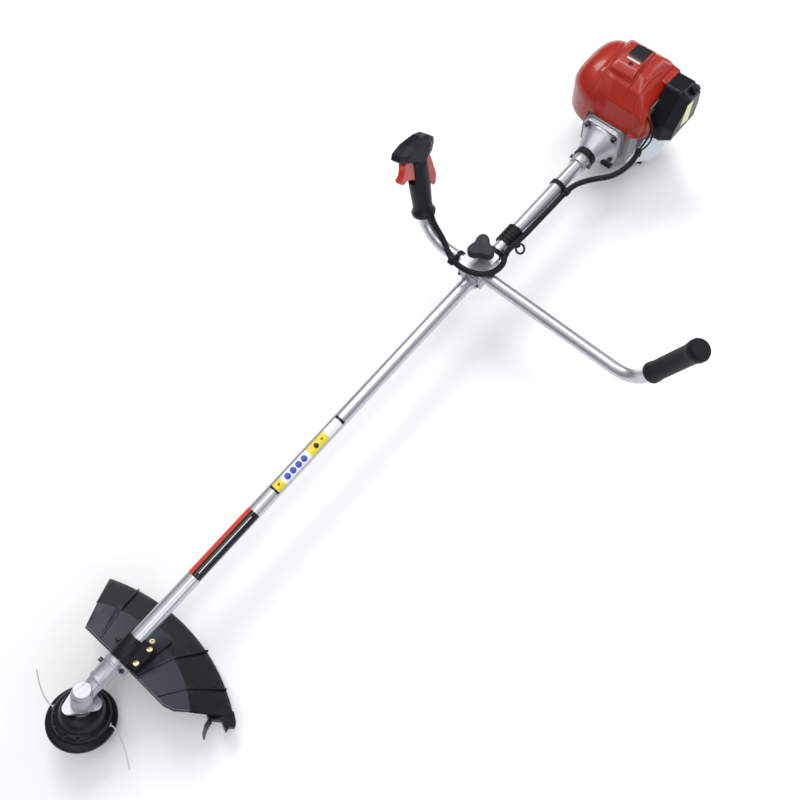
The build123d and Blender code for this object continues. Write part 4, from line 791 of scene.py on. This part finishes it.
def make_hood():
    """The red hood: side walls, a rounded edge and a top with a lobe, a raised panel and a crease."""
    ring = outline_points(HOOD_OUTLINE, 260)
    count = len(ring)
    centre = Vector((*HOOD_CENTRE, 0))
    edge = HOOD_EDGE
    levels = 7
    rows = []
    for level in range(levels + 1):
        row = []
        for point in ring:
            arch = ARCH_RISE * step_in(point.y, -47, 47, 5) * step_in(point.x, 38, 70, 4)
            corner = CORNER_RISE * step_in(point.y, 50, 200, 6) * step_in(point.x, -10, 200, 30)
            low = HOOD_LOW + arch + corner
            top = hood_height(point.x, point.y) - edge
            row.append(Vector((point.x, point.y, low + (max(top, low + 0.5) - low) * level / levels)))
        rows.append(row)
    steps = 56
    for step in range(1, steps):
        share = step / steps
        inward = share ** 1.25
        row = []
        for point in ring:
            spot = point.lerp(centre, inward)
            distance = (spot - point).length
            drop = edge * (1 - math.sqrt(max(0.0, 1 - (1 - min(1.0, distance / edge)) ** 2)))
            row.append(Vector((spot.x, spot.y, hood_height(spot.x, spot.y) - drop)))
        rows.append(row)
    points = [Vector((p.x * MM, p.y * MM, SHAFT_Z + p.z * MM)) for row in rows for p in row]
    faces = grid_faces(len(rows), count, closed=True)
    points.append(Vector((centre.x * MM, centre.y * MM, SHAFT_Z + hood_height(*HOOD_CENTRE) * MM)))
    last = (len(rows) - 1) * count
    for column in range(count):
        faces.append((last + column, last + (column + 1) % count, len(points) - 1))
    hood = put_mesh("hood", points, faces, FINISH["hood"])
    thick = hood.modifiers.new("wall", "SOLIDIFY")
    thick.thickness = HOOD_WALL
    thick.offset = -1
    attach(hood, "frame")
    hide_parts("engine_shroud")


def on_hood(x, y, lift):
    """A point just above the hood."""
    return Vector((x * MM, y * MM, SHAFT_Z + (hood_height(x, y) + lift) * MM))


def hood_patch(name, x0, x1, y0, y1, lift, finish):
    """A thin sticker that follows the hood, with its edges turned down into it."""
    columns, rows = 18, 22
    points = []
    for row in range(rows):
        for column in range(columns):
            u = column / (columns - 1)
            v = row / (rows - 1)
            border = min(u, 1 - u, v, 1 - v)
            points.append(on_hood(x0 + (x1 - x0) * v, y0 + (y1 - y0) * u, lift if border > 0 else -0.6))
    attach(put_mesh(name, points, grid_faces(rows, columns), finish), "frame")


def hood_bead(name, route, half, rise):
    """A raised crease on the hood along a route."""
    line, _ = even_line(spline_line(name, [Vector((x, y, 0)) for x, y in route]), 3.0)
    points = []
    for index, spot in enumerate(line):
        ahead = (line[min(index + 1, len(line) - 1)] - line[max(index - 1, 0)]).normalized()
        across = Vector((-ahead.y, ahead.x, 0))
        section = [(-1, SUNK), *[(side, share * rise) for side, share in CREASE_SECTION], (1, SUNK)]
        for side, lift in section:
            place = spot + across * (half * side)
            points.append(on_hood(place.x, place.y, lift))
    bead = put_mesh(name, points, grid_faces(len(line), 6), FINISH["hood"])
    attach(bead, "frame")


def make_hood_details():
    """The creases, the label, the screw hole, the rib and the duct of the hood."""
    hood_bead("hood_crease_right", CREASE_RIGHT, 3.6, 1.7)
    hood_bead("hood_crease_left", CREASE_LEFT, 2.6, 1.1)
    hood_patch("hood_label", -78, -40, -33, 4, 0.4, FINISH["decal_black"])
    hood_patch("hood_label_strip", -39, -35, -30, 1, 0.4, FINISH["decal_pale"])
    # The screw well is a near-black disc on the hood: painted shade in place of the hole's depth.
    hole = turned("hood_screw_well", on_hood(-27, -14, 0.2), (0.12, 0, 1), [
        (0.0046, -0.0010), (0.0046, 0.0004), (0.0041, 0.0006), (0.0038, 0.0003), (0.0036, -0.0001),
        (0, -0.0001)], FINISH["hole"], 32)
    attach(hole, "frame")
    points = []
    count = 26
    for index in range(count):
        share = index / (count - 1)
        x = -58 + 82 * share
        crest = 4.2 * min(1.0, 6 * share, 6 * (1 - share)) - 0.5
        base = hood_height(x, RIB_Y)
        section = ((-1.9, -2.0), (-1.2, crest * 0.75), (-0.5, crest), (0.5, crest), (1.2, crest * 0.75),
                   (1.9, -2.0))
        for side, rise in section:
            points.append(Vector((x * MM, (RIB_Y + side) * MM, SHAFT_Z + (base + rise) * MM)))
    rib = put_mesh("hood_rib", points, grid_faces(count, 6), FINISH["hood"])
    attach(rib, "frame")
    points = []
    for x, scale in DUCT_STATIONS:
        for y, z in DUCT_OUTLINE:
            points.append(Vector((x * MM, (46 + (y - 46) * scale) * MM,
                                  SHAFT_Z + (90 + (z - 90) * scale) * MM)))
    corners = len(DUCT_OUTLINE)
    faces = grid_faces(len(DUCT_STATIONS), corners, closed=True)
    faces.append(tuple(reversed(range(corners))))
    faces.append(tuple(range(3 * corners, 4 * corners)))
    duct = put_mesh("hood_duct", points, faces, FINISH["hood"], smooth=False)
    bevel(duct, 0.0016, 25, 3)
    attach(duct, "frame")


# Tube prints: name, first and last x, first and last angle, and height above the tube
PRINT_BANDS = (
    ("print_band_black", 1.072, 1.221, 10, 112, 0.00012, "black", "black_plastic"),
    ("print_band_red", 1.072, 1.221, 97, 150, 0.00016, "red", "red_plastic"),
    ("print_band_line", 1.078, 1.215, 60, 66, 0.00018, "white", "tube_paint"),
    ("print_panel_edge", 0.845, 1.022, 24, 118, 0.00010, "black", "black_plastic"),
    ("print_panel", 0.847, 1.020, 27, 115, 0.00014, "white", "tube_paint"),
    ("print_panel_yellow_a", 0.884, 0.932, 29, 113, 0.00018, "yellow", "tube_paint"),
    ("print_panel_yellow_b", 0.998, 1.018, 29, 113, 0.00018, "yellow", "tube_paint"),
)
INKS = (
    ("red", (0.66, 0.045, 0.02), 0.30, 0.04), ("yellow", (0.80, 0.66, 0.03), 0.32, 0.04),
    ("blue", (0.02, 0.05, 0.42), 0.32, 0.04), ("white", (0.82, 0.83, 0.85), 0.32, 0.02))
FILM_RIM = 0.00002
SPOT_ANGLE = 71


def tube_wrap(name, x0, x1, start_deg, end_deg, lift, finish):
    """A printed film wrapped part of the way round the tube; angles are from +Y towards +Z."""
    columns = 40
    rows = 24
    points = []
    for row in range(rows):
        share = row / (rows - 1)
        x = x0 + (x1 - x0) * share
        for column in range(columns):
            part = column / (columns - 1)
            angle = math.radians(start_deg + (end_deg - start_deg) * part)
            rim = row in (0, rows - 1) or column in (0, columns - 1)
            radius = TUBE_R + (FILM_RIM if rim else lift)
            points.append(Vector((x, radius * math.cos(angle), SHAFT_Z + radius * math.sin(angle))))
    attach(put_mesh(name, points, grid_faces(rows, columns), finish), "frame")


def tube_spot(name, x, radius, lift, finish, sides=28):
    """A small printed disc or polygon on the tube."""
    middle = math.radians(SPOT_ANGLE)
    points = []
    rings = 4
    turn = math.pi / 6
    height = TUBE_R + lift
    for ring in range(rings):
        size = radius * ring / (rings - 1)
        for step in range(sides):
            angle = 2 * math.pi * step / sides + turn
            around = middle + size * math.sin(angle) / TUBE_R
            points.append(Vector((x + size * math.cos(angle), height * math.cos(around),
                                  SHAFT_Z + height * math.sin(around))))
    spot = put_mesh(name, points, grid_faces(rings, sides, closed=True), finish)
    attach(spot, "frame")


def make_prints():
    """Plain coloured bands and discs on the tube, with no lettering."""
    inks = {"black": FINISH["decal_black"]}
    for ink, colour, rough, spots in INKS:
        inks[ink] = plain_material(f"print_{ink}", colour, rough, spots=spots, grain=(700, 0.02), coat=0.3)
    for name, x0, x1, start_deg, end_deg, lift, ink, slot in PRINT_BANDS:
        tube_wrap(name, x0, x1, start_deg, end_deg, lift, inks[ink])
    for number in range(4):
        tube_spot(f"print_disc_{number}", 0.944 + 0.0142 * number, 0.0062, 0.00022, inks["blue"])
    tube_spot("print_mark_0", 0.896, 0.0050, 0.00024, inks["black"], 3)
    tube_spot("print_mark_1", 0.912, 0.0050, 0.00024, inks["black"], 24)
    tube_spot("print_mark_end", 1.008, 0.0055, 0.00024, inks["black"], 3)


# Rope, hoses and small fittings
ROPE_START = Vector((-0.117, -0.049, 0.155))
ROPE_END = Vector((-0.117, -0.0715, 0.155))
ROPE_STRAND = 0.0022


def make_small_parts():
    """The starter rope, the fuel hoses, the line eyelets and the air cleaner's latch."""
    line, _ = even_line([ROPE_START, ROPE_END], ROPE_STRAND)
    rope = sweep_tube("starter_rope", line, lambda index: 0.0015 + 0.0001 * (index % 2), 10, FINISH["grip"])
    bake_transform(rope)

    for name, route in FUEL_HOSES:
        plain_hose(name, FUEL_HOSE_R, route, FINISH["hose"])

    for number, angle in enumerate(LINE_ANGLES):
        turn = math.radians(angle)
        out = HEAD_OUT * math.cos(turn) + Vector((0, 1, 0)) * math.sin(turn)
        eyelet = turned(f"line_eyelet_{number}", APEX + HEAD_UP * -0.0735, out, [
            (0.0022, 0.0470), (0.0038, 0.0475), (0.0038, 0.0500), (0.0050, 0.0505), (0.0050, 0.0518),
            (0.0032, 0.0524), (0.0022, 0.0512), (0.0022, 0.0470)], FINISH["steel"], 24)
        attach(eyelet, "spindle")

    latch = turned("air_cleaner_latch", (-0.072, 0.108, 0.2385), (0, 0.35, 1), [
        (0, -0.004), (0.0085, -0.004), (0.0092, 0.0), (0.0092, 0.006), (0.0080, 0.0085), (0, 0.0085)],
        FINISH["plastic"], 9)
    bevel(latch, 0.0008)
    attach(latch, "filter_cover")


def make_cover_label():
    """The plain pale label on the air cleaner."""
    rows = [[Vector((x * MM, 0.1172, z * MM)) for x, z in ((-63, 168), (-34, 176), (-38, 232), (-60, 227))],
            [Vector((x * MM, 0.1175, z * MM))
             for x, z in ((-62.5, 168.6), (-34.6, 176.4), (-38.4, 231.4), (-59.6, 226.6))]]
    label = lofted("cover_label", rows, FINISH["cream"], smooth=False)
    attach(label, "filter_cover")


# CAD nodes by finish. The last six under "rubber" are hidden, because a piece replaces each of them.
NODE_FINISH = {
    "tube": ("shaft_tube", "handlebar_tube"),
    "cast": ("clutch_housing", "tube_collar", "crankcase", "cylinder", "piston", "flywheel", "gear_case",
             "clamp_base", "clamp_cap"),
    "cast_dark": ("fan_housing", "carburetor"),
    "steel": ("ball_bearings", "crankshaft", "clutch_shoes", "spark_plug", "muffler", "carb_throttle_lever",
              "clutch_drum", "drive_shaft", "pinion", "output_spindle", "output_gear", "bump_spring"),
    "black_steel": ("clutch_screws", "pinch_screws", "harness_ring", "line_cutter_blade"),
    "gold_steel": ("guard_screws",),
    "rubber": ("front_ring", "starter_handle", "primer_bulb", "left_grip", "harness_collar", "cable_straps",
               "control_cable", "engine_shroud", "trimmer_line", "throttle_grip", "throttle_trigger",
               "clamp_knob"),
    "plastic": ("starter_cover", "starter_pulley", "fuel_cap", "engine_stand", "air_cleaner_case",
                "air_cleaner_cover", "choke_lever", "trimmer_head_body", "trimmer_head_cover", "line_spool",
                "bump_knob", "guard_clamp"),
    "red": ("stop_switch",),
    "pink": ("lockout_lever",),
    "tank": ("fuel_tank",),
    "foam": ("air_filter",),
    "bush": ("shaft_bushes",),
    "guard": ("guard",),
}
BEVELS = {
    "clutch_housing": 0.0008, "gear_case": 0.0008, "clamp_base": 0.0010, "clamp_cap": 0.0010,
    "lockout_lever": 0.0012, "air_cleaner_cover": 0.0060, "air_cleaner_case": 0.0020, "guard": 0.0006,
    "guard_clamp": 0.0012, "engine_stand": 0.0012, "trimmer_head_body": 0.0007, "starter_cover": 0.0008,
    "starter_handle": 0.0016, "fuel_tank": 0.0016, "fan_housing": 0.0010, "muffler": 0.0010,
    "fuel_cap": 0.0008, "bump_knob": 0.0010, "trimmer_head_cover": 0.0010, "harness_collar": 0.0006,
    "left_grip": 0.0006, "tube_collar": 0.0006, "crankcase": 0.0010,
}
WELD_GAP = 0.00001


def finish_nodes():
    """Gives every CAD node its finish, and those in BEVELS small rounded edges."""
    for key, names in NODE_FINISH.items():
        for name in names:
            NODES[name].data.materials.clear()
            NODES[name].data.materials.append(FINISH[key])
    for name, width in BEVELS.items():
        weld = NODES[name].modifiers.new("weld", "WELD")
        weld.merge_threshold = WELD_GAP
        bevel(NODES[name], width, 35.0)


make_camera()
FINISH = build_materials()
FINISH["guard"] = guard_material()
make_lines()
make_conduit()
make_studio()
finish_nodes()
make_thin_cables()
make_grip()
make_clamp_parts()
make_guard_lip()
make_hood()
make_hood_details()
make_prints()
make_small_parts()
make_cover_label()
